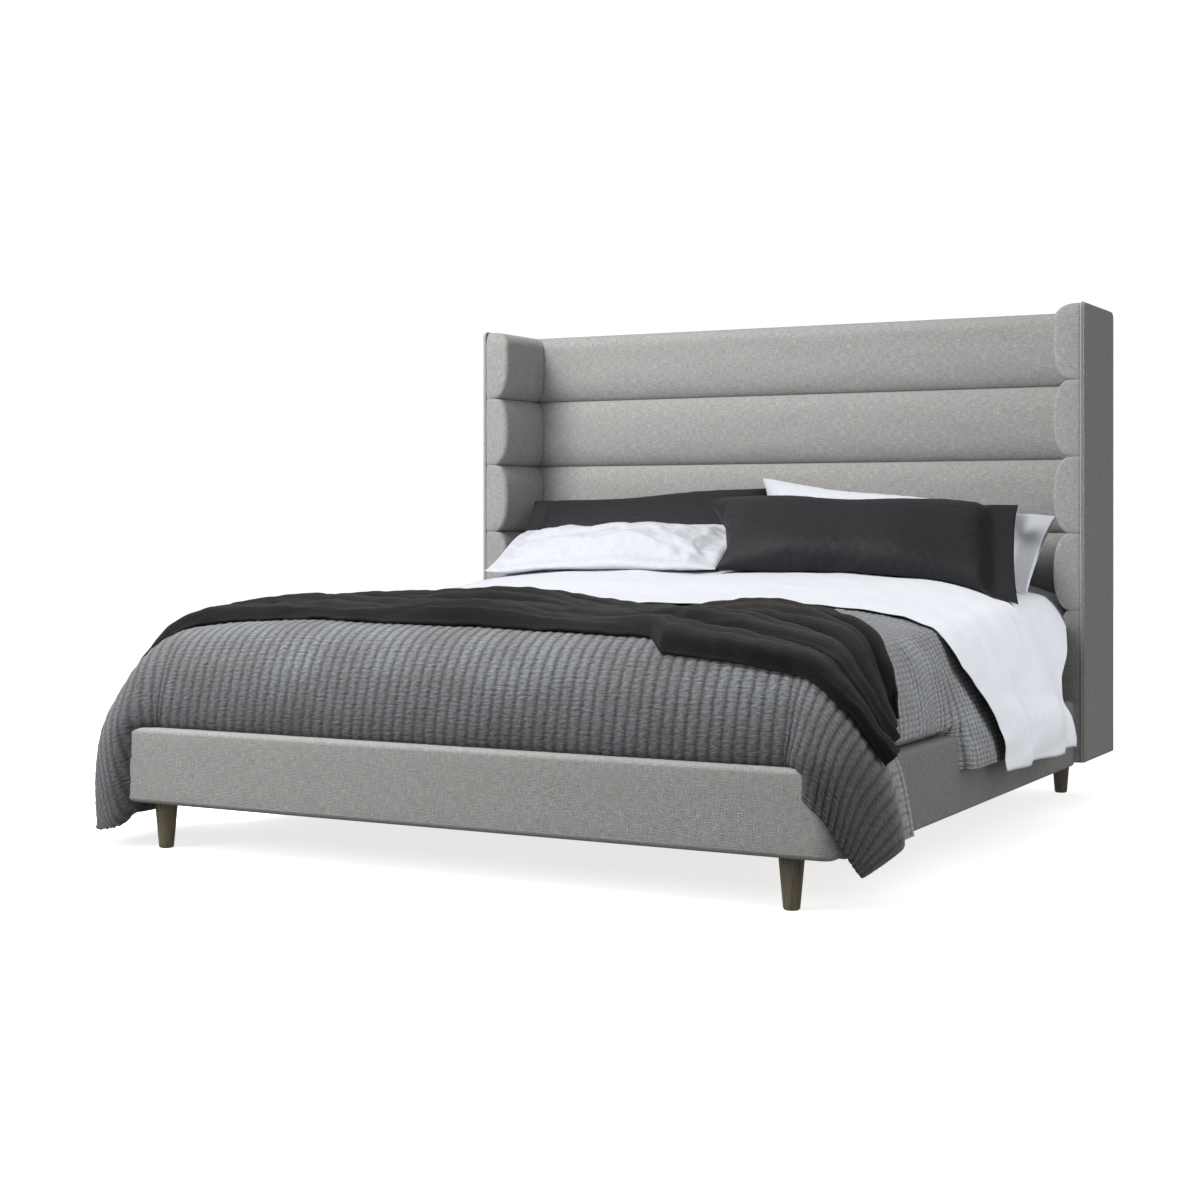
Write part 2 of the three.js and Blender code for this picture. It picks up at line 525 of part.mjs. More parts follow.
// A pillow: two crowned faces on one outline, thin at the seam.
function pillow(name, look) {
  const { x, y, z, halfX, halfY, thick, lean } = PILLOWS[name];
  const nx = 16;
  const ny = 10;
  const swell = (u, v) => PILLOW_RIM + (thick / 2 - PILLOW_RIM)
    * Math.pow(Math.max(0, 1 - Math.pow(Math.abs(u), 3)), 0.6)
    * Math.pow(Math.max(0, 1 - Math.pow(Math.abs(v), 2.4)), 0.6);
  const positions = [];
  const index = [];
  const at = (face, i, j) => face * (nx + 1) * (ny + 1) + i * (ny + 1) + j;
  for (const face of [1, -1]) {
    for (let i = 0; i <= nx; i++) {
      for (let j = 0; j <= ny; j++) {
        const u = 2 * i / nx - 1;
        const v = 2 * j / ny - 1;
        const pull = 1 - 0.05 * (1 - u * u);
        const pinch = 1 - 0.03 * (1 - v * v);
        positions.push(halfX * u * pinch, halfY * v * pull, face * swell(u, v));
      }
    }
  }
  const quad = (a, b, c, d) => index.push(a, b, c, a, c, d);
  for (let i = 0; i < nx; i++) {
    for (let j = 0; j < ny; j++) {
      quad(at(0, i, j), at(0, i + 1, j), at(0, i + 1, j + 1), at(0, i, j + 1));
      quad(at(1, i, j), at(1, i, j + 1), at(1, i + 1, j + 1), at(1, i + 1, j));
    }
    quad(at(1, i, 0), at(1, i + 1, 0), at(0, i + 1, 0), at(0, i, 0));
    quad(at(0, i, ny), at(0, i + 1, ny), at(1, i + 1, ny), at(1, i, ny));
  }
  for (let j = 0; j < ny; j++) {
    quad(at(0, 0, j), at(0, 0, j + 1), at(1, 0, j + 1), at(1, 0, j));
    quad(at(1, nx, j), at(1, nx, j + 1), at(0, nx, j + 1), at(0, nx, j));
  }
  const geometry = new THREE.BufferGeometry();
  geometry.setAttribute("position", new THREE.BufferAttribute(new Float32Array(positions), 3));
  geometry.setIndex(index);
  const mesh = add(name, geometry, look);
  mesh.position.set(x, y, z);
  mesh.rotation.x = THREE.MathUtils.degToRad(lean);
}

function pillows() {
  pillow("back_left_pillow", PILLOW_DARK);
  pillow("back_right_pillow", WHITE_COTTON);
  pillow("front_left_pillow", WHITE_COTTON);
  pillow("front_right_pillow", PILLOW_DARK);
}

headboard();
wing(-1);
wing(1);
footRail();
sideRail(-1);
sideRail(1);
supports();
for (const side of [-1, 1]) {
  const name = side > 0 ? "right" : "left";
  cornerLeg(`front_${name}_leg`, side * FRONT_LEG.x, FRONT_LEG.y, RAIL_BOTTOM_Z - GAP);
  cornerLeg(`rear_${name}_leg`, side * REAR_LEG.x, REAR_LEG.y, HEAD_BOTTOM_Z - GAP);
}
CENTRE_LEG_Y.forEach((y, i) => centreLeg(i + 1, y));
mattressSet();
coverlet();
flatSheet();
throwBlanket();
pillows();

export default bed;
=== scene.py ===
# %% [markdown]
# # A dressed wing bed
# The bed is a timber frame under foam and cloth: a headboard and two wings sewn into level padded
# rolls, three covered rails on turned legs, and a mattress on a box foundation. Over it lie a fitted
# sheet, a quilted coverlet, a flat sheet, a knitted throw and four pillows. The timber frame comes
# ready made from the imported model, and every soft piece is made here, in metres, around it.

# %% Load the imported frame
import math
import bmesh
import bpy
import numpy as np
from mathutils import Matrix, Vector


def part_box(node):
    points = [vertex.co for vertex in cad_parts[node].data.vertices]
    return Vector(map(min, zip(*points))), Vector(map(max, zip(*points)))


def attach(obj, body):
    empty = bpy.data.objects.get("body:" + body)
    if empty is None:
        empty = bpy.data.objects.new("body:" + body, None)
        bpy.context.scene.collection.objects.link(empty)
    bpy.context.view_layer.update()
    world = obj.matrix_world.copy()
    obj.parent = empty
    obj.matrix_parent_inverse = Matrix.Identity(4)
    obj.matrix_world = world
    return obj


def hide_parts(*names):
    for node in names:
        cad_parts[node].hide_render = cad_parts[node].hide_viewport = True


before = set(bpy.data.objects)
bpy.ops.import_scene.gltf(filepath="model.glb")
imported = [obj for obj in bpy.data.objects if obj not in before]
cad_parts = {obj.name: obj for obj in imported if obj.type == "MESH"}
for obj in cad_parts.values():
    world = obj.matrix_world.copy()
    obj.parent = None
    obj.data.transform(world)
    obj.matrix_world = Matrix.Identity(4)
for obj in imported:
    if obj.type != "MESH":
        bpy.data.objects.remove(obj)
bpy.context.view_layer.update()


def span(node):
    """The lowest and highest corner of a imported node, as two arrays."""
    low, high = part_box(node)
    return np.array(low), np.array(high)


# %% [markdown]
# ## The camera
# The bed is seen from a standing child's eye height, from the right of its foot, with a level camera.
# A long lens a few metres away keeps the posts upright, and a small shift does the framing.

# %% Make the camera
EYE = (2.6468, -5.0995, 0.8744)
TURN = math.radians(27.444)
LENS = 58.79
SHIFT = (-0.0417, -0.0673)
camera_data = bpy.data.cameras.new("camera")
camera_data.lens = LENS
camera_data.shift_x, camera_data.shift_y = SHIFT
camera = bpy.data.objects.new("camera", camera_data)
camera.location = EYE
camera.rotation_euler = (math.pi / 2, 0, TURN)
bpy.context.scene.collection.objects.link(camera)
bpy.context.scene.camera = camera
print("camera lens", camera_data.lens, "mm")

# %% [markdown]
# ## Sizes that everything is built from
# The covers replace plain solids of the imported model, so their places are read from those solids.
# Only the softness of the upholstery, such as the depth of a sewn valley, is stated here.

# %% Read the driving sizes
head_low, head_high = span("right_wing_outer_cover")
WING_OUTER = float(head_high[0])
WING_SKIN = float(head_low[0])
WING_FRONT = float(head_low[1])
HEAD_BACK = float(head_high[1])
HEAD_BOTTOM, HEAD_TOP = float(head_low[2]), float(head_high[2])
WING_INNER = float(span("right_wing_roll_2")[0][0])
ROLL_CROWN = float(span("headboard_roll_2")[0][1])
core_low, core_high = span("right_wing_core")
HEAD_BOARD_FRONT = float(span("headboard_core")[0][1])
ROLLS = [f"roll_{i}" for i in (1, 2, 3, 4)] + ["lower_pad"]
roll_z = [(float(span(f"headboard_{r}")[0][2]), float(span(f"headboard_{r}")[1][2])) for r in ROLLS]
foot_low, foot_high = span("foot_rail_cover")
RAIL_OUT = float(foot_high[0])
FOOT_FRONT, FOOT_BACK = float(foot_low[1]), float(foot_high[1])
RAIL_BOTTOM, RAIL_TOP = float(foot_low[2]), float(foot_high[2])
RAIL_IN = float(span("right_rail_cover")[0][0])
ROLL_DEPTH = 0.034
TOP_ROUND = 0.048
TURNED_OVER = HEAD_BACK - 0.0153  # the top rolls end here, at the wadding under the dust cloth
HAIR = 0.0004  # room left between neighbouring pieces
SEAM_ROOM = 0.0006  # and where two rolls meet
print("rolls", [round(a, 3) for a, b in roll_z], "rails", RAIL_OUT, RAIL_TOP)


# %% [markdown]
# ## Helpers for nodes and colour
# A colour is written as the sRGB value that a person would pick, and one function makes it linear.
# One more adds a shader or geometry node, sets it, and links what it is given.

# %% Colour and nodes
def linear(code):
    parts = [int(code[i:i + 2], 16) / 255 for i in (1, 3, 5)]
    return tuple(c / 12.92 if c <= 0.04045 else ((c + 0.055) / 1.055) ** 2.4 for c in parts) + (1.0,)


def put(tree, kind, inputs=None, **settings):
    """Adds a node. Its inputs are values, colour codes, or outputs of nodes made before it."""
    made = tree.nodes.new(kind)
    for name, value in settings.items():
        setattr(made, name, value)
    for key, value in (inputs or {}).items():
        if isinstance(value, bpy.types.Node):
            value = value.outputs[0]
        if isinstance(value, bpy.types.NodeSocket):
            tree.links.new(value, made.inputs[key])
        else:
            made.inputs[key].default_value = linear(value) if isinstance(value, str) else value
    return made


def finish_named(name, roughness, **shader):
    """A new material with one principled shader; returns the material, its tree and the shader."""
    made = bpy.data.materials.new(name)
    made.use_nodes = True
    tree = made.node_tree
    tree.nodes.clear()
    surface = put(tree, "ShaderNodeBsdfPrincipled", {"Roughness": roughness})
    for key, value in shader.items():
        surface.inputs[key.replace("_", " ")].default_value = value
    put(tree, "ShaderNodeOutputMaterial", {"Surface": surface})
    return made, tree, surface


def blend(tree, factor, low, high):
    """Mixes two colours by a factor and returns the colour socket."""
    return put(tree, "ShaderNodeMix", {0: factor, 6: low, 7: high}, data_type="RGBA").outputs[2]


def sums(tree, operation, a, b=0.0):
    return put(tree, "ShaderNodeMath", {0: a, 1: b}, operation=operation).outputs[0]


def ramp(tree, value, low, high, to_low=0.0, to_high=1.0):
    return put(tree, "ShaderNodeMapRange", {0: value, 1: low, 2: high, 3: to_low, 4: to_high}).outputs[0]


def cloth_place(tree, scale=(1, 1, 1)):
    """Cloth coordinates in metres, from the piece's own UV map, times a scale."""
    place = put(tree, "ShaderNodeUVMap", uv_map="UVMap")
    return put(tree, "ShaderNodeMapping", {"Vector": place, "Scale": scale}).outputs[0]


def grain(tree, place, scale, detail=2.0, roughness=0.5):
    """Noise whose features measure about 1/scale of the place's unit."""
    return put(tree, "ShaderNodeTexNoise", {"Vector": place, "Scale": scale, "Detail": detail,
                                            "Roughness": roughness}).outputs[0]


# %% [markdown]
# ## Woven cloth
# In a plain weave each thread passes over one and under the next, so the surface is a chequer of
# small rounded bars that lie across and along. Two sine waves give the bars, and the sign of their
# product says which of the two threads is on top.

# %% The weave pattern
def weave(tree, place, pitch):
    """Height of a plain weave, 0 to 1, and a factor that is 1 where the crosswise thread is on top."""
    turned = put(tree, "ShaderNodeVectorMath", {0: place, 1: (math.pi / pitch,) * 3}, operation="MULTIPLY")
    split = put(tree, "ShaderNodeSeparateXYZ", {0: turned})
    across = sums(tree, "SINE", split.outputs[0])
    along = sums(tree, "SINE", split.outputs[1])
    on_top = sums(tree, "GREATER_THAN", sums(tree, "MULTIPLY", across, along), 0.0)
    bars = put(tree, "ShaderNodeMix", {0: on_top, 2: sums(tree, "ABSOLUTE", across),
                                       3: sums(tree, "ABSOLUTE", along)}, data_type="FLOAT")
    return bars.outputs[0], on_top


def raise_by(tree, surface, height, depth, strength=1.0):
    """Feeds a height, 0 to 1, into the shader's normal as a bump of the given depth in metres."""
    bump = put(tree, "ShaderNodeBump", {"Height": height, "Distance": depth, "Strength": strength})
    tree.links.new(bump.outputs[0], surface.inputs["Normal"])


# %% [markdown]
# ### Upholstery cloth
# A heathered polyester and linen basketweave: light grey, matt, with single darker and lighter yarns
# that make short flecks both ways. The real yarns are about 1.2 mm thick, which is too fine to show
# from across a room, so the weave is drawn at 3.6 mm.

# %% Upholstery material
def upholstery(name, dark, light, pale):
    made, tree, surface = finish_named(name, 0.92, Sheen_Weight=0.12, Sheen_Roughness=0.6,
                                       Specular_IOR_Level=0.25)
    height, on_top = weave(tree, cloth_place(tree), 0.0036)
    warp = grain(tree, cloth_place(tree, (300, 45, 1)), 1.0, 3.0, 0.65)
    weft = grain(tree, cloth_place(tree, (45, 300, 1)), 1.0, 3.0, 0.65)
    yarn = put(tree, "ShaderNodeMix", {0: on_top, 2: warp, 3: weft}, data_type="FLOAT").outputs[0]
    cloud = grain(tree, cloth_place(tree), 9.0, 2.0)
    tone = blend(tree, ramp(tree, yarn, 0.34, 0.66), dark, light)
    tone = blend(tree, ramp(tree, yarn, 0.64, 0.74), tone, pale)
    # painted shade: the low parts of the weave, between the raised threads, are darkened
    tone = blend(tree, ramp(tree, height, 0.35, 0.0, 0.0, 0.38), tone, dark)
    tone = blend(tree, ramp(tree, cloud, 0.3, 0.7, 0.0, 0.10), tone, dark)
    tree.links.new(tone, surface.inputs["Base Color"])
    raised = sums(tree, "ADD", height, sums(tree, "MULTIPLY", yarn, 0.8))
    raise_by(tree, surface, raised, 0.0007, 0.7)
    return made


grey_basketweave = upholstery("grey_basketweave_upholstery", "#878684", "#B3B2B0", "#DAD9D7")
# a lighter copy of the same cloth: painted highlight along the welts at the wing edges
welt_cloth_painted_lighter = upholstery("grey_basketweave_welt_painted_highlight", "#9A9997", "#BEBDBB", "#D8D7D5")
print("made", grey_basketweave.name)


# %% [markdown]
# ### Bed linen
# Percale is a tight matt plain weave, and sateen has long floats that give it a soft glow. Both have
# threads of about a quarter of a millimetre, drawn here at 1.6 mm, and faint creases from the iron.

# %% Percale and sateen materials
IRON_CREASE = 0.0012


def linen(name, shade, light, sheen, roughness):
    made, tree, surface = finish_named(name, roughness, Sheen_Weight=sheen, Sheen_Roughness=0.45,
                                       Specular_IOR_Level=0.3)
    height, on_top = weave(tree, cloth_place(tree), 0.0016)
    slub = grain(tree, cloth_place(tree, (40, 400, 1)), 1.0, 2.0)
    creases = grain(tree, cloth_place(tree, (1, 1.7, 1)), 11.0, 4.0, 0.55)
    tone = blend(tree, ramp(tree, slub, 0.3, 0.7), shade, light)
    tree.links.new(tone, surface.inputs["Base Color"])
    fine = sums(tree, "MULTIPLY", height, 0.12)
    raise_by(tree, surface, sums(tree, "ADD", fine, creases), IRON_CREASE, 0.55)
    return made


white_percale = linen("white_cotton_percale", "#BABDC3", "#C7CACF", 0.15, 0.8)
charcoal_sateen = linen("charcoal_cotton_sateen", "#16161A", "#1D1D22", 0.04, 0.62)
ticking_knit = linen("cream_mattress_ticking", "#D9D4CA", "#E9E5DC", 0.1, 0.85)
foundation_cloth = linen("charcoal_foundation_cloth", "#3A3837", "#4B4948", 0.1, 0.9)
dust_cloth = linen("black_spunbond_dust_cloth", "#2B2B2C", "#3A3A3B", 0.05, 0.95)
print("made", white_percale.name, charcoal_sateen.name)

# %% [markdown]
# ### Quilted cotton
# The coverlet is stone-washed cotton, sewn through its wadding in channels. Washing shrinks the
# thread more than the cloth, so the cloth puckers beside each seam, and the dye rubs off the ridges.
# The channels themselves are modelled in the mesh; the material adds the puckers, the weave, and a tone
# from an attribute of the mesh that is light on the ridges and dark in the valleys: partly the fade of
# the ridges, partly painted highlight on them and painted shade in the valleys and between the puckers.
# Where the cloth hangs at the foot, painted shade darkens it towards the bottom.

# %% Quilted cotton material
def quilted_cotton():
    made, tree, surface = finish_named("stonewashed_grey_quilted_cotton", 0.9, Sheen_Weight=0.08,
                                       Sheen_Roughness=0.5, Specular_IOR_Level=0.2)
    ridge = put(tree, "ShaderNodeAttribute", attribute_name="ridge").outputs[2]
    puckers = grain(tree, cloth_place(tree, (70, 190, 1)), 1.0, 3.0, 0.6)
    wash = grain(tree, cloth_place(tree), 6.0, 4.0)
    height, on_top = weave(tree, cloth_place(tree), 0.0018)
    # light on the ridges and dark in the valleys and puckers: partly washed-out wear, partly painted
    # highlight and painted shade
    wear_and_painted_shade = sums(tree, "ADD", sums(tree, "MULTIPLY", ridge, 0.7), sums(tree, "MULTIPLY", puckers, 0.62))
    tone = blend(tree, ramp(tree, wear_and_painted_shade, 0.3, 1.0), "#26272A", "#A9ACAF")
    tone = blend(tree, ramp(tree, wash, 0.35, 0.65, 0.0, 0.3), tone, "#55504E")
    place = put(tree, "ShaderNodeTexCoord").outputs["Object"]
    x, y, z = put(tree, "ShaderNodeSeparateXYZ", {0: place}).outputs
    # painted shade: the coverlet's hanging foot grows darker towards the bottom
    painted_shade_low_down = ramp(tree, z, 0.50, 0.33, 0.0, 0.66)
    painted_shade_at_the_foot = sums(tree, "MULTIPLY", ramp(tree, y, -0.90, -1.0), ramp(tree, x, -1.06, -0.98))
    painted_foot_shade = sums(tree, "MULTIPLY", painted_shade_low_down, painted_shade_at_the_foot)
    tone = blend(tree, painted_foot_shade, tone, "#26272A")
    tree.links.new(tone, surface.inputs["Base Color"])
    raised = sums(tree, "ADD", puckers, sums(tree, "MULTIPLY", height, 0.1))
    raise_by(tree, surface, raised, 0.011, 0.95)
    return made


quilt_cloth = quilted_cotton()
print("made", quilt_cloth.name)

# %% [markdown]
# ### Rib knit
# The throw is a thick cotton knit in dark brown, almost black. Its stitches stand in columns, so it
# has fine ribs, under 5 mm apart, that run along the throw, each broken into little loops.

# %% Rib knit material
RIB = 0.0046


def rib_knit():
    made, tree, surface = finish_named("dark_brown_rib_knit", 0.95, Sheen_Weight=0.06,
                                       Sheen_Roughness=0.6, Specular_IOR_Level=0.15)
    rib = (2 * math.pi / RIB, 2 * math.pi / (RIB * 1.15), 1)
    split = put(tree, "ShaderNodeSeparateXYZ", {0: cloth_place(tree, rib)})
    column = sums(tree, "SINE", split.outputs[1])
    loop = sums(tree, "SINE", sums(tree, "ADD", split.outputs[0], sums(tree, "MULTIPLY", column, 0.9)))
    fuzz = grain(tree, cloth_place(tree), 900.0, 2.0)
    height = sums(tree, "ADD", sums(tree, "MULTIPLY", column, 0.35), sums(tree, "MULTIPLY", loop, 0.3))
    height = sums(tree, "ADD", height, sums(tree, "MULTIPLY", fuzz, 0.35))
    fold = put(tree, "ShaderNodeAttribute", attribute_name="ridge").outputs[2]
    # painted shade: the knit is darker where its ribs and loops lie low; the fuzz adds random tone
    tone = blend(tree, ramp(tree, height, -0.4, 0.7), "#0B0A0A", "#272422")
    # painted shade: nearly black down in the valleys between the throw's big folds
    tone = blend(tree, ramp(tree, fold, 0.8, 0.1, 0.0, 0.9), tone, "#060505")
    tree.links.new(tone, surface.inputs["Base Color"])
    raise_by(tree, surface, height, 0.0018, 0.7)
    return made


throw_knit = rib_knit()
print("made", throw_knit.name)


# %% [markdown]
# ### Timber, steel and thread
# The legs are turned ash under a grey-brown stain, so the grain runs up the leg and the pores stay
# dark. The hidden frame is bare pine. Plates and glides are zinc-plated steel, and staples are bright
# wire.

# %% Timber and metal materials
def timber(name, dark, light, pore, roughness, along, coat=0.0):
    """Grain stretched along one axis of the object, with darker pores in it."""
    made, tree, surface = finish_named(name, roughness, Coat_Weight=coat, Coat_Roughness=0.35)
    place = put(tree, "ShaderNodeTexCoord").outputs["Object"]
    stretched = put(tree, "ShaderNodeMapping", {"Vector": place, "Scale": along})
    broad = grain(tree, stretched, 22.0, 5.0, 0.6)
    fine = grain(tree, stretched, 190.0, 3.0, 0.7)
    tone = blend(tree, ramp(tree, broad, 0.35, 0.65), dark, light)
    tone = blend(tree, ramp(tree, fine, 0.52, 0.68, 0.0, 0.75), tone, pore)
    tree.links.new(tone, surface.inputs["Base Color"])
    raise_by(tree, surface, fine, 0.0004, 0.35)
    return made


stained_ash = timber("grey_stained_ash", "#5E5646", "#827863", "#40392D", 0.48, (1, 1, 0.06), 0.15)
bare_pine = timber("bare_pine", "#C7A878", "#DCC296", "#B08F5E", 0.7, (1, 0.07, 1))


def metal(name, colour, roughness):
    made, tree, surface = finish_named(name, roughness, Metallic=1.0)
    place = put(tree, "ShaderNodeTexCoord").outputs["Object"]
    spangle = put(tree, "ShaderNodeTexVoronoi", {"Vector": place, "Scale": 160.0})
    tone = blend(tree, ramp(tree, spangle.outputs[0], 0.0, 1.0, 0.0, 0.35), colour, "#8F9396")
    tree.links.new(tone, surface.inputs["Base Color"])
    tree.links.new(ramp(tree, spangle.outputs[0], 0.0, 1.0, roughness, roughness + 0.15),
                   surface.inputs["Roughness"])
    return made


zinc_steel = metal("zinc_plated_steel", "#B9BDC0", 0.32)
print("made", stained_ash.name, bare_pine.name, zinc_steel.name)


# %% [markdown]
# ## Helpers for meshes
# Most soft pieces are either a closed loft, which is a row of rings with a cap at each end, or a
# sheet, which is a grid of points. Both carry a UV map in metres, so that cloth keeps its scale.

# %% Mesh from points
def make_piece(name, points, corners, sizes, uv, material, sharp=None):
    """A mesh object from points, the corner list of its faces, and one UV pair for each corner."""
    mesh = bpy.data.meshes.new(name)
    mesh.vertices.add(len(points))
    mesh.vertices.foreach_set("co", np.asarray(points, np.float32).ravel())
    mesh.loops.add(len(corners))
    mesh.loops.foreach_set("vertex_index", np.asarray(corners, np.int32))
    mesh.polygons.add(len(sizes))
    mesh.polygons.foreach_set("loop_start", np.concatenate([[0], np.cumsum(sizes)[:-1]]).astype(np.int32))
    layer = mesh.uv_layers.new(name="UVMap")
    layer.data.foreach_set("uv", np.asarray(uv, np.float32).ravel())
    mesh.update(calc_edges=True)
    mesh.validate()
    mesh.materials.append(material)
    mesh.shade_smooth()
    if sharp:
        mesh.set_sharp_from_angle(angle=math.radians(sharp))
    piece = bpy.data.objects.new(name, mesh)
    bpy.context.scene.collection.objects.link(piece)
    return piece


def turn_out(piece):
    """Merges doubled points and turns every face of a closed mesh outwards."""
    work = bmesh.new()
    work.from_mesh(piece.data)
    bmesh.ops.remove_doubles(work, verts=work.verts, dist=1e-6)
    bmesh.ops.recalc_face_normals(work, faces=work.faces)
    work.to_mesh(piece.data)
    work.free()
    return piece


def lofted(name, rings, material, sharp=50, along=None):
    """A closed solid through rings of points, capped at both ends; along gives the UV's second axis."""
    rings = np.asarray(rings, float)
    count, around = rings.shape[:2]
    closed = np.concatenate([rings, rings[:, :1]], axis=1)
    u = np.concatenate([np.zeros((count, 1)),
                        np.cumsum(np.linalg.norm(np.diff(closed, axis=1), axis=2), axis=1)], axis=1)
    u = u[count // 2][None, :] + 0 * u
    if along is None:
        step = np.linalg.norm(np.diff(rings, axis=0), axis=2).max(axis=1)
        along = np.concatenate([[0], np.cumsum(step)])
    v = np.asarray(along)[:, None] + 0 * u
    i, j = np.meshgrid(np.arange(count - 1), np.arange(around), indexing="ij")
    i, j = i.ravel(), j.ravel()
    k = (j + 1) % around
    corners = np.stack([i * around + j, i * around + k, (i + 1) * around + k, (i + 1) * around + j], 1)
    flat = np.stack([u, v], -1)
    uv = np.stack([flat[i, j], flat[i, j + 1], flat[i + 1, j + 1], flat[i + 1, j]], 1)
    points = rings.reshape(-1, 3)
    corners, uv, sizes = corners.ravel(), uv.reshape(-1, 2), [4] * len(i)
    for ring in (0, count - 1):
        points = np.vstack([points, rings[ring].mean(axis=0)])
        hub = len(points) - 1
        wide_axes = np.sort(np.argsort(np.ptp(rings[ring], axis=0))[1:])
        for a in range(around):
            b = (a + 1) % around
            trio = [hub, ring * around + a, ring * around + b]
            corners = np.append(corners, trio)
            uv = np.vstack([uv, points[trio][:, wide_axes]])
            sizes.append(3)
    return turn_out(make_piece(name, points, corners, sizes, uv, material, sharp))


def grid_sheet(name, points, uv, material, keep=None):
    """An open sheet from a grid of points, with a UV for each; keep says which cells to fill."""
    rows, columns = points.shape[:2]
    i, j = np.meshgrid(np.arange(rows - 1), np.arange(columns - 1), indexing="ij")
    if keep is not None:
        i, j = i[keep], j[keep]
    i, j = i.ravel(), j.ravel()
    corners = np.stack([i * columns + j, i * columns + j + 1,
                        (i + 1) * columns + j + 1, (i + 1) * columns + j], 1).ravel()
    flat_uv = uv.reshape(-1, 2)[corners]
    used, corners = np.unique(corners, return_inverse=True)
    piece = make_piece(name, points.reshape(-1, 3)[used], corners, [4] * len(i), flat_uv, material)
    return piece, used


def thicken(piece, thickness, offset=-1.0):
    """Gives a sheet its real thickness and applies it."""
    wall = piece.modifiers.new("cloth thickness", "SOLIDIFY")
    wall.thickness = thickness
    wall.offset = offset
    wall.use_even_offset = False
    apply_modifiers(piece)


def apply_modifiers(piece):
    """Replaces a piece's mesh by what its modifiers make of it, and removes them."""
    evaluated = piece.evaluated_get(bpy.context.evaluated_depsgraph_get())
    made = bpy.data.meshes.new_from_object(evaluated)
    piece.modifiers.clear()
    old, piece.data = piece.data, made
    made.name = piece.name
    bpy.data.meshes.remove(old)


# %% Curves through a few points
def curve_through(points):
    """A smooth curve through a few points, as a function of the distance along it."""
    points = np.array(points, float)
    padded = np.vstack([2 * points[0] - points[1], points, 2 * points[-1] - points[-2]])
    t = np.linspace(0, len(points) - 1, 24 * len(points))
    i = np.minimum(t.astype(int), len(points) - 2)
    f = (t - i)[:, None]
    a, b, c, d = (padded[i + k] for k in range(4))
    path = 0.5 * (2 * b + (c - a) * f + (2 * a - 5 * b + 4 * c - d) * f ** 2
                  + (3 * b - a - 3 * c + d) * f ** 3)
    reach = np.concatenate([[0], np.cumsum(np.linalg.norm(np.diff(path, axis=0), axis=1))])

    def at(distance):
        return np.stack([np.interp(distance, reach, path[:, k]) for k in range(path.shape[1])], -1)

    return at


def ease(low, high, value):
    """0 below low, 1 above high, and a smooth step between them."""
    t = np.clip((np.asarray(value, float) - low) / (high - low), 0, 1)
    return t * t * (3 - 2 * t)


def waves(x, y, seed, scale, octaves=3):
    """Smooth random waves over an array of places, about -1 to 1, the same on every run."""
    draw = np.random.default_rng(seed)
    total = np.zeros(np.broadcast(x, y).shape)
    for k in range(octaves * 4):
        angle = draw.uniform(0, 2 * math.pi)
        pitch = scale * draw.uniform(0.6, 1.5) / 2 ** (k // 4)
        phase = draw.uniform(0, 2 * math.pi)
        wave = np.sin(2 * math.pi / pitch * (x * math.cos(angle) + y * math.sin(angle)) + phase)
        total = total + wave * 0.5 ** (k // 4) / 2.5
    return total


def tube(name, path, radius, material, sides=10):
    """A closed round cord of cloth or wire along a path of points."""
    path = np.asarray(path, float)
    ahead = np.gradient(path, axis=0)
    ahead /= np.linalg.norm(ahead, axis=1)[:, None]
    up = np.where(np.abs(ahead[:, 2:3]) > 0.9, [[1.0, 0, 0]], [[0, 0, 1.0]])
    side = np.cross(ahead, up)
    side /= np.linalg.norm(side, axis=1)[:, None]
    rise = np.cross(side, ahead)
    angles = np.linspace(0, 2 * math.pi, sides, endpoint=False)[None, :, None]
    rings = path[:, None] + radius * (np.cos(angles) * side[:, None] + np.sin(angles) * rise[:, None])
    return lofted(name, rings, material, sharp=60)


print("helpers ready")


# %% [markdown]
# ## The padded rolls
# Each roll is foam pulled down along its two seams by the upholsterer, so it is full in the middle
# and drops steeply into a thin dark valley. One profile rules them all, and it is steepest where it
# meets the seam. The top roll has only one valley, and its upper side turns over the headboard.

# %% The profile of a roll
def fullness(t):
    return (1 - np.abs(2 * t - 1) ** 2.6) ** 0.6


def fullness_mask(depth):
    """1 on the crown and 0 in the valleys, so that a seam stays straight."""
    return np.clip(1 - depth / ROLL_DEPTH, 0, 1)


def roll_profile(z0, z1, top=False, bottom=False, count=30):
    """Heights up a roll, and how far its surface lies behind the crown at each."""
    t = (1 - np.cos(np.linspace(0, math.pi, count + 1))) / 2
    z = z0 + t * (z1 - z0)
    depth = ROLL_DEPTH * (1 - fullness(t))
    if top:
        low = t <= 0.5
        angle = np.linspace(0, math.pi / 2, 14)
        middle = np.linspace(z[low][-1], z1 - TOP_ROUND, 8)[1:-1]
        z = np.concatenate([z[low], middle, z1 - TOP_ROUND * (1 - np.sin(angle))])
        depth = np.concatenate([depth[low], 0 * middle, TOP_ROUND * (1 - np.cos(angle))])
    if bottom:
        high = t >= 0.5
        z = np.concatenate([np.linspace(z0, z[high][0], 10)[:-1], z[high]])
        depth = np.concatenate([np.zeros(9), depth[high]])
        depth[:2] += [0.008, 0.002]
    return z, depth


print("roll depth at a quarter", round(float(ROLL_DEPTH * (1 - fullness(0.25))), 4))

# %% [markdown]
# ### Across the headboard
# The rolls of the main panel are lofted from one wing to the other. They meet the wings' rolls on a
# mitre, because both have the same profile, and the cloth pulls in a little towards that seam.

# %% Main panel rolls
MITRE_PULL = 0.0025
MITRE_REACH = 0.03


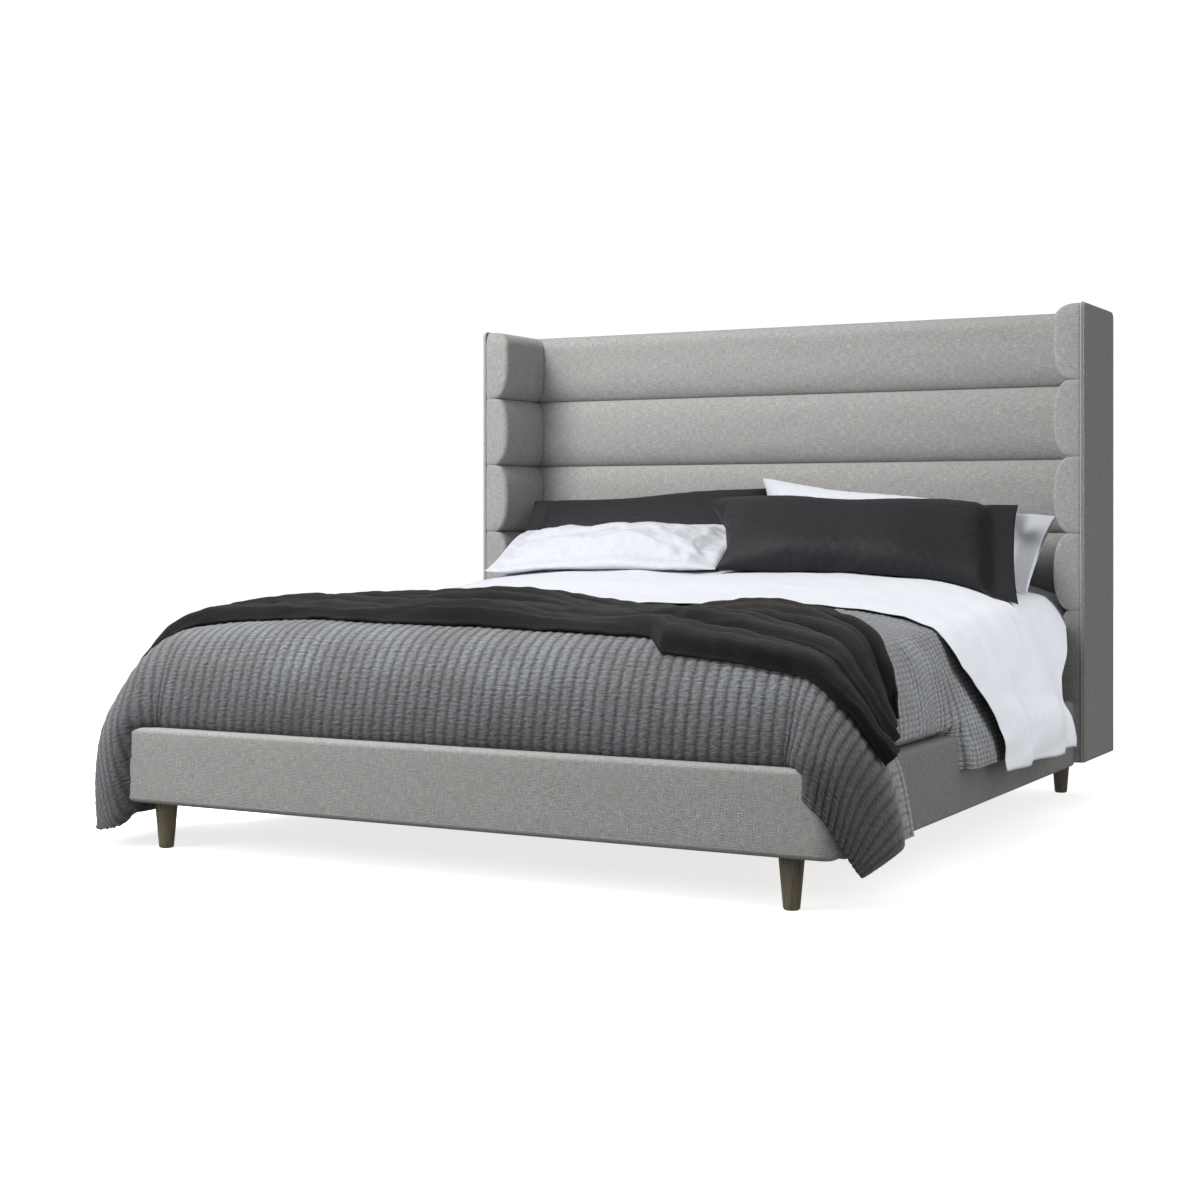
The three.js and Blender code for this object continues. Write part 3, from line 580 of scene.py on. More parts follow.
def main_roll(node, z0, z1, top=False, bottom=False):
    z, depth = roll_profile(z0, z1, top, bottom)
    back = TURNED_OVER if top else HEAD_BOARD_FRONT - SEAM_ROOM
    end = WING_INNER + depth - SEAM_ROOM
    near_a_wing = np.linspace(0.9, 1, 14)
    stations = np.concatenate([-near_a_wing[::-1], np.linspace(-0.88, 0.88, 60), near_a_wing])
    rings = []
    for s in stations:
        x = s * end
        gap = (1 - abs(s)) * WING_INNER
        pull = MITRE_PULL * math.exp(-(gap / MITRE_REACH) ** 1.2)
        soft = 0.0011 * waves(x, z * 2.0, 11, 0.34)
        y = ROLL_CROWN + depth + pull * (1 - depth / TOP_ROUND) + soft * fullness_mask(depth)
        front = np.stack([x, y, z], 1)
        up, down = s * end[-1], s * end[0]
        rear = [[up, back, z[-1]], [up, back, (z[0] + z[-1]) / 2], [down, back, z[0]]]
        rings.append(np.vstack([front, rear]))
    piece = lofted(f"{node}_padding", rings, grey_basketweave, along=stations * WING_INNER)
    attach(piece, "bed")
    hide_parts(node)
    return piece


for roll, (z0, z1) in zip(ROLLS, roll_z):
    made = main_roll(f"headboard_{roll}", z0, z1, top=roll == "roll_1", bottom=roll == "lower_pad")
print("main panel", len(ROLLS), "rolls,", len(made.data.polygons), "faces in the last")

# %% [markdown]
# ### Round the wings
# On a wing each roll runs forward, turns a soft corner, and lies flat on the wing's narrow front.
# These are lofted upwards: every ring is the outline of the padding seen from above, an L that holds
# the wing's board in its crook.

# %% Wing rolls
CORNER_SOFT = 0.015
FRONT_CROWN = 0.0014
SEAM_PINCH = 0.0035
WING_CROWN = 0.010  # the wings are stuffed a little fuller than the main panel


def wing_outline(inner, front, z, mitre_y, covers_board):
    """The L-shaped outline of a wing's padding at one height, for the right-hand wing."""
    edge = WING_SKIN - HAIR
    board_x, board_y = float(core_low[0]) - HAIR, float(core_low[1]) - HAIR
    far = [[edge, board_y], [board_x, board_y], [board_x, mitre_y + 0.004]]
    if covers_board:
        far = [[edge, TURNED_OVER], [inner + 0.01, TURNED_OVER], [inner + 0.004, mitre_y + 0.004]]
    points = [[inner, y] for y in np.linspace(mitre_y, front + CORNER_SOFT, 26)]
    for angle in np.linspace(0, math.pi / 2, 9)[1:]:
        points.append([inner + CORNER_SOFT * (1 - math.cos(angle)),
                       front + CORNER_SOFT * (1 - math.sin(angle))])
    width = edge - 0.004 - (inner + CORNER_SOFT)
    for s in np.linspace(0, 1, 8)[1:]:
        crown = FRONT_CROWN * math.sin(math.pi * s) ** 0.7
        points.append([inner + CORNER_SOFT + s * width, front - crown])
    points.append([edge, front + 0.004])
    return [[x, y, z] for x, y in points + far]


def wing_roll(side, node, z0, z1, top=False, bottom=False):
    z, depth = roll_profile(z0, z1, top, bottom)
    rings = []
    for height, d in zip(z, depth):
        inner = WING_INNER + d - WING_CROWN * fullness_mask(d)
        to_seams = ([] if bottom else [height - z0]) + ([] if top else [z1 - height])
        pinch = SEAM_PINCH * math.exp(-min(to_seams) / 0.006)
        front = WING_FRONT + pinch + (0.5 * d if top and height > z1 - TOP_ROUND else 0.0)
        over_board = top and height > float(core_high[2]) + 0.0005
        rings.append(wing_outline(inner, front, height, ROLL_CROWN + d - SEAM_ROOM, over_board))
    rings = np.array(rings)
    on_the_padding = rings[:, :, 0] < WING_INNER + 0.03
    soft = 0.0009 * waves(rings[:, :, 1] * 1.3, rings[:, :, 2], 23 + side, 0.3)
    rings[:, :, 0] += soft * on_the_padding
    rings[:, :, 0] *= side
    piece = lofted(f"{node}_padding", rings, grey_basketweave, along=z)
    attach(piece, "bed")
    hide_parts(node)


SIDES = {"left": -1, "right": 1}
for word, side in SIDES.items():
    for roll, (z0, z1) in zip(ROLLS, roll_z):
        wing_roll(side, f"{word}_wing_{roll}", z0, z1, top=roll == "roll_1", bottom=roll == "lower_pad")
print("wing rolls", 2 * len(ROLLS))


# %% [markdown]
# ### The outside of the wings, the back, and the welts
# The outside of each wing is one flat panel over thin wadding, with soft edges. A welt, which is a
# thin cord in a strip of the same cloth, hides the seam where it meets the front. The back of the
# headboard is closed with black dust cloth, held by staples.

# %% Panels with soft edges
WELT_RADIUS = 0.0028
WELT_BEND = 0.016


def rounded_outline(low, high, radii, steps=8):
    """Corner points of a rectangle with rounded corners, anticlockwise from the low-left corner."""
    points = []
    places = [(low[0], low[1], 1, 1, 180), (high[0], low[1], -1, 1, 270),
              (high[0], high[1], -1, -1, 0), (low[0], high[1], 1, -1, 90)]
    for (a, b, sa, sb, start), r in zip(places, radii):
        for k in range(steps + 1):
            angle = math.radians(start + 90 * k / steps)
            points.append([a + sa * r + r * math.cos(angle), b + sb * r + r * math.sin(angle)])
    return np.array(points)


def soft_panel(name, low, high, radii, depth_span, edge, place, material):
    """A flat panel with rounded corners and a soft outer edge; place puts a, b and depth in the frame."""
    rings = []
    start, stop = depth_span
    for k in range(7):
        angle = k / 6 * math.pi / 2
        inset = edge * (1 - math.cos(angle))
        depth = stop - math.copysign(edge, stop - start) * (1 - math.sin(angle))
        rings.append((inset, depth))
    rings.insert(0, (0.0, start))
    for more in (0.02, 0.06, 0.15):
        rings.append((edge + more * 0.5, stop))
    made = []
    for inset, depth in rings:
        outline = rounded_outline(np.array(low) + inset, np.array(high) - inset,
                                  [max(r - inset, 0.002) for r in radii])
        made.append([place(a, b, depth) for a, b in outline])
    piece = lofted(name, made, material, sharp=60)
    box_uv(piece)
    return piece


def box_uv(piece):
    """Lays the UV map flat, in metres, along the axis that each face looks down."""
    mesh = piece.data
    count = len(mesh.loops)
    where = np.empty(len(mesh.vertices) * 3, np.float32)
    mesh.vertices.foreach_get("co", where)
    where = where.reshape(-1, 3)
    vertex = np.empty(count, np.int32)
    mesh.loops.foreach_get("vertex_index", vertex)
    normal = np.empty(len(mesh.polygons) * 3, np.float32)
    mesh.polygons.foreach_get("normal", normal)
    size = np.empty(len(mesh.polygons), np.int32)
    mesh.polygons.foreach_get("loop_total", size)
    axis = np.repeat(np.abs(normal.reshape(-1, 3)).argmax(axis=1), size)
    first = np.array([1, 0, 0])[axis]
    second = np.array([2, 2, 1])[axis]
    uv = np.stack([where[vertex, first], where[vertex, second]], 1)
    mesh.uv_layers["UVMap"].data.foreach_set("uv", uv.ravel())


for word, side in SIDES.items():
    panel = soft_panel(
        f"{word}_wing_outer_panel", (WING_FRONT, HEAD_BOTTOM), (HEAD_BACK, HEAD_TOP),
        (0.006, 0.006, 0.022, 0.014), (WING_SKIN, WING_OUTER), 0.006,
        lambda a, b, depth: (side * depth, a, b), grey_basketweave)
    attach(panel, "bed")
    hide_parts(f"{word}_wing_outer_cover")
    x, y0, z1 = side * WING_SKIN, WING_FRONT - 0.0005, HEAD_TOP - WELT_BEND
    up = [[x, y0, z] for z in np.linspace(HEAD_BOTTOM + 0.004, z1, 40)]
    bend = [[x, y0 + 0.014 * (1 - math.cos(a)), z1 + WELT_BEND * math.sin(a)]
            for a in np.linspace(0, math.pi / 2, 8)[1:]]
    over = [[x, y, HEAD_TOP] for y in np.linspace(WING_FRONT + 0.03, HEAD_BACK - 0.03, 20)]
    # the welt's cloth is painted lighter, as a painted highlight along the edge
    welt = tube(f"{word}_wing_welt", up + bend + over, WELT_RADIUS, welt_cloth_painted_lighter)
    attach(welt, "bed")
back_low, back_high = span("headboard_back_cover")
back = soft_panel("headboard_back_dust_cloth", (back_low[0], back_low[2]), (back_high[0], back_high[2]),
                  (0.004, 0.004, 0.01, 0.01), (float(back_low[1]), float(back_high[1])), 0.003,
                  lambda a, b, depth: (a, depth, b), dust_cloth)
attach(back, "bed")
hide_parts("headboard_back_cover")
print("panels and welts made")

# %% [markdown]
# ## The rails
# The side rails are boards under wadding and cloth, a little crowned, with a seam just under the top
# edge. The foot rail is one soft bar: its ends curve back in plan, and they are round in elevation.

# %% Side rails
RAIL_CROWN = 0.002
SEAM_DROP = 0.0145


def rail_section(low_x, high_x, low_z, high_z):
    """A rail's cross section, rounded at its corners and crowned a little on its outer face."""
    outline = rounded_outline((low_x, low_z), (high_x, high_z), (0.004, 0.012, 0.016, 0.010))
    dense = []
    for a, b in zip(outline, np.roll(outline, -1, axis=0)):
        pieces = max(1, int(np.linalg.norm(b - a) / 0.006))
        dense += [a + (b - a) * k / pieces for k in range(pieces)]
    dense = np.array(dense)
    outer = ease(high_x - 0.01, high_x, dense[:, 0])
    middle = np.sin(math.pi * np.clip((dense[:, 1] - low_z) / (high_z - low_z), 0, 1)) ** 0.5
    groove = np.exp(-((dense[:, 1] - (high_z - SEAM_DROP)) / 0.0022) ** 2)
    dense[:, 0] += outer * (RAIL_CROWN * (middle - 1) - 0.0016 * groove)
    return dense


for word, side in SIDES.items():
    rail_low, rail_high = span(f"{word}_rail_cover")
    section = rail_section(RAIL_IN, RAIL_OUT, RAIL_BOTTOM, RAIL_TOP)
    stations = np.linspace(rail_low[1], rail_high[1], 60)
    rings = [[[side * x, y, z] for x, z in section] for y in stations]
    rail = lofted(f"{word}_rail_upholstery", rings, grey_basketweave, sharp=60, along=stations)
    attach(rail, "bed")
    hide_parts(f"{word}_rail_cover")
print("side rails", round(float(rail_high[1] - rail_low[1]), 3), "m long")

# %% Foot rail
PLAN_ROUND, TOP_CORNER, LOW_CORNER, EDGE_SOFT = 0.058, 0.046, 0.034, 0.014


def drop_at(distance, radius):
    """How far a rounded corner has pulled in, at a distance from the end."""
    inside = np.clip(radius - distance, 0, radius)
    return radius - np.sqrt(np.maximum(radius ** 2 - inside ** 2, 0))


ends = PLAN_ROUND * (1 - np.cos(np.linspace(0, math.pi / 2, 16)))
straight = np.linspace(-RAIL_OUT + 0.08, RAIL_OUT - 0.08, 60)
stations = np.concatenate([-RAIL_OUT + ends, straight, RAIL_OUT - ends[::-1]])
rings = []
for x in stations:
    reach = RAIL_OUT - abs(x)
    front = FOOT_FRONT + min(drop_at(reach, PLAN_ROUND), FOOT_BACK - FOOT_FRONT - 0.012)
    high = RAIL_TOP - drop_at(reach, TOP_CORNER)
    low = RAIL_BOTTOM + drop_at(reach, LOW_CORNER)
    soft = min(EDGE_SOFT, (FOOT_BACK - front) / 2.2)
    outline = rounded_outline((front, low), (FOOT_BACK, high), (soft, 0.003, 0.008, soft))
    dense = []
    for a, b in zip(outline, np.roll(outline, -1, axis=0)):
        dense += [a + (b - a) * k / 5 for k in range(5)]
    rings.append([[x, y, z] for y, z in dense])
foot = lofted("foot_rail_upholstery", rings, grey_basketweave, sharp=60, along=stations)
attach(foot, "bed")
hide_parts("foot_rail_cover")
print("foot rail", round(2 * RAIL_OUT, 3), "m wide")

# %% [markdown]
# ## Legs
# The legs are turned: straight tapers with a small chamfer at the foot and a thin felt disc that
# keeps the timber off the floor.

# %% Turned legs
LEG_TAPER = 0.64  # the foot's width as a share of the top's
TAPER_START = 0.004

for place in ("front_left", "front_right", "rear_left", "rear_right"):
    low, high = span(f"{place}_leg")
    x, y = (low[:2] + high[:2]) / 2
    top_radius = (high[0] - low[0]) / 2
    foot_radius = top_radius * LEG_TAPER
    profile = [(foot_radius - 0.003, 0.0012), (foot_radius - 0.0008, 0.0022), (foot_radius, TAPER_START)]
    profile += [(foot_radius + (top_radius - foot_radius) * s, TAPER_START + s * (high[2] - TAPER_START))
                for s in np.linspace(0.1, 1, 10)]
    angles = np.linspace(0, 2 * math.pi, 64, endpoint=False)
    rings = [[[x + r * math.cos(a), y + r * math.sin(a), z] for a in angles] for r, z in profile]
    leg = lofted(f"{place}_turned_leg", rings, stained_ash, sharp=40)
    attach(leg, "bed")
    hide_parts(f"{place}_leg")
    rim = foot_radius - 0.003
    disc = [[[x + r * math.cos(a), y + r * math.sin(a), z] for a in angles]
            for r, z in ((rim - 0.001, 0.0), (rim, 0.0005), (rim, 0.0012))]
    felt = lofted(f"{place}_felt_disc", disc, dust_cloth, sharp=40)
    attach(felt, "bed")
print("legs 4, height", round(float(high[2]), 4))

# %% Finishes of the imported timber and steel
for name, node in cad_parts.items():
    look = zinc_steel if "glide" in name or "plate" in name else bare_pine
    node.data.materials.clear()
    node.data.materials.append(look)
print("packed pieces with a new finish:", len(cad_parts))


# %% [markdown]
# ## The lie of the bedding
# Everything soft on the mattress follows one surface: it rises from the foot to the pillows, and
# falls away softly to each side. The coverlet, the sheet and the throw all start from it.

# %% The height of the made bed
EDGE_X = 0.90  # where the covers start to fall at the sides
FOOT_EDGE = -0.90  # and at the foot
RISE = np.array([(-1.0, 0.585), (-0.9, 0.605), (-0.6, 0.625), (-0.3, 0.640), (-0.1, 0.655),
                 (0.1, 0.680), (0.35, 0.700), (0.6, 0.706), (1.1, 0.706)])


def bed_top(x, y):
    """Height of the made bed's top at a place."""
    along = sum(np.interp(y + shift, RISE[:, 0], RISE[:, 1]) for shift in (-0.08, -0.04, 0, 0.04, 0.08)) / 5
    fall = 0.08 * ease(-1.6, 0.3, y)
    lumps = 0.0035 * waves(x, y, 41, 0.45, 2) * ease(1.0, 0.7, np.abs(x))
    return along + lumps - fall * (np.abs(x) / 0.93) ** 4.6


UNDER_COVERS = 0.022  # how far the mattress lies below the top of the covers


def under_covers(points, bottom, top):
    """Squeezes the upper half of a mattress shape so that it stays below the covers."""
    middle = (bottom + top) / 2
    share = np.clip((points[..., 2] - middle) / (top - middle), 0, 1)
    room = bed_top(points[..., 0], points[..., 1]) - UNDER_COVERS - top
    points[..., 2] += share * np.minimum(room, 0)
    return points


print("bed height at the foot and the pillows", np.round(bed_top(0, np.array([-0.9, 0.6])), 3))

# %% [markdown]
# ## Foundation, mattress and fitted sheet
# The foundation is a box covered in dark cloth. The mattress stands on it, and a fitted sheet is
# pulled over the mattress so tightly that only its corners wrinkle.

# %% Box shapes with round corners and edges
def divided(outline, per_side):
    """A rounded rectangle's outline with its four straight sides cut into even pieces."""
    per_corner = len(outline) // 4
    dense = []
    for index, (a, b) in enumerate(zip(outline, np.roll(outline, -1, axis=0))):
        pieces = per_side if index % per_corner == per_corner - 1 else 1
        dense += [a + (b - a) * k / pieces for k in range(pieces)]
    return dense


def cushion_box(name, low, high, corner, edge, material, tucked_under=False):
    """A box with rounded plan corners and rounded upper and lower edges."""
    rings = []
    steps = [(edge * (1 - math.sin(a)), edge * (1 - math.cos(a))) for a in np.linspace(0, math.pi / 2, 7)]
    levels = [(inset, low[2] + rise) for inset, rise in steps]
    levels += [(0.0, z) for z in np.linspace(low[2] + edge, high[2] - edge, 8)[1:-1]]
    levels += [(inset, high[2] - rise) for inset, rise in reversed(steps)]
    levels += [(edge + grow, high[2]) for grow in (0.04, 0.12, 0.25, 0.5, 0.8)]
    for inset, z in levels:
        outline = rounded_outline(low[:2] + inset, high[:2] - inset, [max(corner - inset, 0.01)] * 4, 10)
        rings.append([[x, y, z] for x, y in divided(outline, 24)])
    rings = np.array(rings)
    if tucked_under:
        rings = under_covers(rings, low[2], high[2])
    piece = lofted(name, rings, material, sharp=55)
    box_uv(piece)
    return piece


low, high = span("box_spring")
foundation = cushion_box("foundation_box", low, high, 0.04, 0.012, foundation_cloth)
low, high = span("mattress")
mattress = cushion_box("pocket_mattress", low, high, 0.11, 0.05, ticking_knit, tucked_under=True)
for piece, node, slot in ((foundation, "box_spring", "foundation_cloth"),
                          (mattress, "mattress", "mattress_ticking")):
    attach(piece, "bed")
    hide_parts(node)
print("mattress", np.round(high - low, 3))

# %% Fitted sheet
FITTED_HEM = 0.012
SHEET_CORNER = 0.113
SHEET_ROUND = 0.05
sheet_low, sheet_high = low - 0.003, high + 0.003
levels = [(0.012, sheet_low[2] + FITTED_HEM), (0.004, sheet_low[2] + 0.02)]
levels += [(0.0, z) for z in np.linspace(sheet_low[2] + SHEET_ROUND, sheet_high[2] - SHEET_ROUND, 7)]
levels += [(SHEET_ROUND * (1 - math.sin(a)), sheet_high[2] - SHEET_ROUND * (1 - math.cos(a)))
           for a in np.linspace(math.pi / 2, 0, 7)[1:]]
levels += [(SHEET_ROUND + grow, sheet_high[2] + 0.0005) for grow in (0.05, 0.15, 0.35, 0.6, 0.9)]
rings = []
for inset, z in levels:
    corner = max(SHEET_CORNER - inset, 0.004)
    outline = rounded_outline(sheet_low[:2] + inset, sheet_high[:2] - inset, [corner] * 4, 10)
    rings.append([[x, y, z] for x, y in divided(outline, 44)])
rings = np.array(rings)
rings = np.concatenate([rings, rings[:, :1]], axis=1)
past_end = np.abs(rings[:, :, 1] - (low[1] + high[1]) / 2) - (high[1] - low[1]) / 2
past_side = np.abs(rings[:, :, 0]) - sheet_high[0]
corner_near = np.exp(-((past_side / 0.2) ** 2 + (past_end / 0.2) ** 2))
fold = waves((rings[:, :, 0] + rings[:, :, 1]) * 1.6, rings[:, :, 2] * 0.5, 5, 0.12)
fold *= 0.0012 + 0.004 * corner_near
side_wall = ease(sheet_high[2] - 0.004, sheet_high[2] - 0.06, rings[:, :, 2])
away = rings - rings.mean(axis=1, keepdims=True)
away[:, :, 2] = 0
away /= np.linalg.norm(away, axis=2, keepdims=True) + 1e-9
rings += away * (np.abs(fold) * side_wall)[:, :, None]
rings = under_covers(rings, sheet_low[2], sheet_high[2] + 0.0005)
rings[:, :, 2] += 0.003 * ease(0.5, 0.8, (rings[:, :, 2] - sheet_low[2]) / (sheet_high[2] - sheet_low[2]))
u = np.concatenate([[0], np.cumsum(np.linalg.norm(np.diff(rings[6], axis=0), axis=1))])
v = np.array([z + inset for inset, z in levels])
uv = np.stack(np.meshgrid(u, v), -1)
fitted, _ = grid_sheet("fitted_sheet_cloth", rings, uv, white_percale)
turn_out(fitted)
thicken(fitted, 0.0012, 1.0)
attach(fitted, "bed")
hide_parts("fitted_sheet")
print("fitted sheet", len(fitted.data.polygons), "faces")

# %% [markdown]
# ## The quilted coverlet
# The coverlet is one rectangle of quilted cotton. It is tucked in along the foot and the sides, but
# its two front corners, and its right side near the head, are left out to hang over the rails. It is
# made as a grid in the cloth's own
# coordinates: on top the grid lies on the bed, past an edge it follows the drop, and at a corner the
# cloth turns about the mattress corner. How far it is tucked or free changes along the edge.

# %% How the coverlet drops
# each path gives how far out and how far down the cloth has gone past the edge of the bed's top
side_tucked = curve_through([
    (0, 0.0), (0.05, -0.022), (0.088, -0.075), (0.108, -0.155), (0.118, -0.225), (0.116, -0.256),
    (0.100, -0.268), (0.082, -0.276), (0.073, -0.30), (0.072, -0.42)])
right_free = curve_through([
    (0, 0.0), (0.05, -0.022), (0.09, -0.08), (0.13, -0.17), (0.165, -0.255), (0.185, -0.30),
    (0.20, -0.36), (0.213, -0.43), (0.220, -0.52), (0.222, -0.66)])
left_free = curve_through([
    (0, 0.0), (0.06, -0.018), (0.115, -0.06), (0.166, -0.13), (0.215, -0.235), (0.246, -0.32),
    (0.260, -0.40), (0.262, -0.47), (0.252, -0.56), (0.244, -0.66)])
foot_tucked = curve_through([
    (0, 0.0), (0.055, -0.014), (0.105, -0.045), (0.145, -0.105), (0.170, -0.180), (0.184, -0.238),
    (0.186, -0.270), (0.172, -0.281), (0.150, -0.286), (0.143, -0.31), (0.140, -0.42)])
foot_free = curve_through([
    (0, 0.0), (0.055, -0.014), (0.105, -0.045), (0.150, -0.105), (0.190, -0.180), (0.220, -0.240),
    (0.232, -0.280), (0.236, -0.34), (0.236, -0.48), (0.236, -0.60)])
side_hang = curve_through([
    (0, 0.0), (0.05, -0.015), (0.095, -0.07), (0.135, -0.16), (0.172, -0.26), (0.190, -0.32),
    (0.197, -0.38), (0.196, -0.46), (0.195, -0.55)])
# for each side, 1 right and -1 left: how much cloth lies past the edges, and where a loose corner's
# hem starts to round off and how far it gives after that
SIDE_DROP = {1: 0.52, -1: 0.72}
FOOT_DROP = {1: 0.43, -1: 0.66}
HEM_STARTS = {1: 0.50, -1: 0.59}
HEM_GIVES = {1: 0.13, -1: 0.07}
COVERLET_HEAD = 0.44  # the coverlet ends here, under the sheet
PLAN_SQUARENESS = 3.4  # how square the loose corners are, seen from above


def free_along(side, v):
    """1 where the side of the coverlet hangs over the rail, 0 where it is tucked in."""
    if side > 0:
        return 1 - ease(-0.85, -0.79, v) + ease(-0.36, -0.27, v)
    return 1 - ease(-0.76, -0.69, v)


def coverlet_at(u, v, side):
    """Where the cloth at u from the middle and v along lies, for one side, and how loose it is there."""
    p = np.maximum(u - EDGE_X, 0)
    q = np.maximum(FOOT_EDGE - v, 0)
    rho = np.hypot(p, q)
    phi = np.arctan2(q, np.maximum(p, 1e-9))
    x0 = np.minimum(u, EDGE_X)
    y0 = np.maximum(v, FOOT_EDGE)
    loose_side = free_along(side, v)
    loose = loose_side * (1 - ease(math.radians(66), math.radians(86), phi))
    over = np.maximum(rho - HEM_STARTS[side], 0)
    rho = np.minimum(rho, HEM_STARTS[side]) + HEM_GIVES[side] * (1 - np.exp(-over / HEM_GIVES[side]))
    if side < 0:
        free = left_free(rho)
    else:
        rho = rho * (1 - 0.16 * ease(-0.55, -0.4, v))
        near_head = ease(-0.6, -0.4, v)[..., None]
        inner = side_hang(rho)
        inner[..., 0] -= 0.015 * ease(0.03, 0.15, rho)
        free = right_free(rho) * (1 - near_head) + inner * near_head
    across = side_tucked(rho) * (1 - loose[..., None]) + free * loose[..., None]
    down = foot_tucked(rho) * (1 - loose[..., None]) + foot_free(rho) * loose[..., None]
    c, s = np.cos(phi), np.sin(phi)
    bulge = (np.abs(c) ** PLAN_SQUARENESS + np.abs(s) ** PLAN_SQUARENESS) ** (1 / PLAN_SQUARENESS)
    dx, dy = c / bulge, s / bulge
    on_side = (p > 0) | (q > 0)
    mix = s ** 2
    x = x0 + np.where(on_side, across[..., 0] * dx, 0)
    y = y0 - np.where(on_side, down[..., 0] * dy, 0)
    z = bed_top(x0, y0) + np.where(on_side, across[..., 1] * (1 - mix) + down[..., 1] * mix, 0)
    flat_edge = bed_top(x0, y0) - 0.60
    z = z - flat_edge * ease(0.05, 0.30, rho)
    fold = ease(0.18, 0.5, rho) * loose * ease(0.02, 0.3, phi) * ease(math.pi / 2, 1.2, phi)
    swing = 0.018 * np.sin(5.5 * phi + (0.6 if side > 0 else 2.0)) * fold
    x = x + swing * dx
    y = y - swing * dy * 0.4
    return np.stack([side * x, y, z], -1), loose


# %% Quilting that stands out from the cloth
CHANNEL = 0.031  # width of a sewn channel
CROSS = 0.0135  # distance between the stitches across it
PUFF = 0.0052  # how high the wadding stands between them
THREAD_LIFT = 0.0008  # the stitches of a hem lie this far above the cloth


def quilting(u, v):
    """Puffed height, 0 to 1, of channels sewn along the cloth, with lighter stitches across."""
    row = np.floor(u / CHANNEL)
    channel = np.abs(np.sin(math.pi * u / CHANNEL)) ** 0.5
    shift = 0.5 * np.sin(row * 12.9898) + 0.22 * waves(u, v, 31, 0.05, 2)
    cross = np.abs(np.sin(math.pi * (v / CROSS + shift))) ** 0.8
    pucker = 0.5 + 0.5 * waves(u, v * 2.2, 33, 0.022, 2)
    ribbed = channel * (0.42 + 0.38 * cross + 0.34 * pucker)
    halves = np.abs(np.sin(2 * math.pi * u / CHANNEL)) ** 0.5
    rows = np.abs(np.sin(math.pi * (v / (2 * CROSS) + 0.03 * waves(u, v, 35, 0.1, 2)))) ** 0.5
    grid = (halves * rows) ** 0.6 * (0.85 + 0.3 * pucker)
    on_side = ease(EDGE_X - 0.30, EDGE_X - 0.12, u) * ease(-0.95, -0.85, v)
    return ribbed * (1 - on_side) + grid * on_side


def even_steps(start, stop, step):
    return np.linspace(start, stop, max(2, int(round(abs(stop - start) / step)) + 1))


def normals_of(points):
    across = np.gradient(points, axis=1)
    along = np.gradient(points, axis=0)
    out = np.cross(across, along)
    return out / (np.linalg.norm(out, axis=2, keepdims=True) + 1e-12)


# %% Coverlet
u_line = even_steps(-EDGE_X - SIDE_DROP[-1], EDGE_X + SIDE_DROP[1], CHANNEL / 6)
v_line = np.concatenate([
    even_steps(FOOT_EDGE - FOOT_DROP[-1], -0.88, 0.0044), even_steps(-0.872, -0.36, 0.0085)[1:],
    even_steps(-0.36, -0.06, 0.0045)[1:], even_steps(-0.06, COVERLET_HEAD, 0.03)[1:]])
u_grid, v_grid = np.meshgrid(u_line, v_line)
where = np.zeros(u_grid.shape + (3,))
loose = np.zeros(u_grid.shape)
for side in (-1, 1):
    half = u_grid * side >= 0
    where[half], loose[half] = coverlet_at(np.abs(u_grid[half]), v_grid[half], side)
puff = quilting(u_grid, v_grid)
out = normals_of(where)
out *= np.sign(out[:, u_line.size // 2, 2].mean())
where = where + out * (PUFF * puff)[..., None]
hidden = (loose < 0.5) & (where[..., 2] < RAIL_TOP - 0.05)
hem_row = v_line.searchsorted(FOOT_EDGE - FOOT_DROP[1] + 0.016)
hem_column = u_line.size - 4
front_hem = (where + out * THREAD_LIFT)[hem_row, u_line > EDGE_X]
front_hem = front_hem[loose[hem_row, u_line > EDGE_X] > 0.5]
side_hem = (where + out * THREAD_LIFT)[hem_row:, hem_column]
side_hem = side_hem[(loose[hem_row:, hem_column] > 0.5) & (v_line[hem_row:] < -0.7)]
too_long = (v_grid < FOOT_EDGE - FOOT_DROP[1]) & (u_grid > -0.7)
gone = hidden | too_long | ((v_grid > -0.2) & (where[..., 2] < 0.30) & (u_grid < 0))
keep = ~(gone[:-1, :-1] | gone[1:, :-1] | gone[:-1, 1:] | gone[1:, 1:])
coverlet, used = grid_sheet("quilted_coverlet", where, np.stack([u_grid, v_grid], -1), quilt_cloth, keep)
ridge = coverlet.data.attributes.new("ridge", "FLOAT", "POINT")
ridge.data.foreach_set("value", puff.ravel()[used].astype(np.float32))
thicken(coverlet, 0.006, -1.0)
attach(coverlet, "bed")
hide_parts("coverlet")
print("coverlet", len(coverlet.data.polygons), "faces")


# %% [markdown]
# ## The flat sheet
# The white sheet is turned down over the coverlet. On the right its side hangs outside the rail in a
# few loose folds; on the left it is tucked in.

# %% Flat sheet
sheet_tuck = curve_through([
    (0, 0.0), (0.05, -0.015), (0.090, -0.07), (0.112, -0.16), (0.118, -0.24), (0.112, -0.262),
    (0.09, -0.275), (0.078, -0.30), (0.077, -0.45)])
SHEET_REAR = 0.98  # the sheet runs back to here, under the pillows
SHEET_SIDE = 0.475  # and this far past the edge of the bed's top on the right
SHEET_EDGE = np.array([(-1.25, -0.36), (0.0, -0.45), (0.50, -0.36), (0.70, -0.25), (0.85, -0.18),
                       (0.97, -0.23), (1.08, -0.24), (1.18, -0.18), (1.28, -0.12), (1.40, -0.10)])
PLEAT_PITCH = 0.31


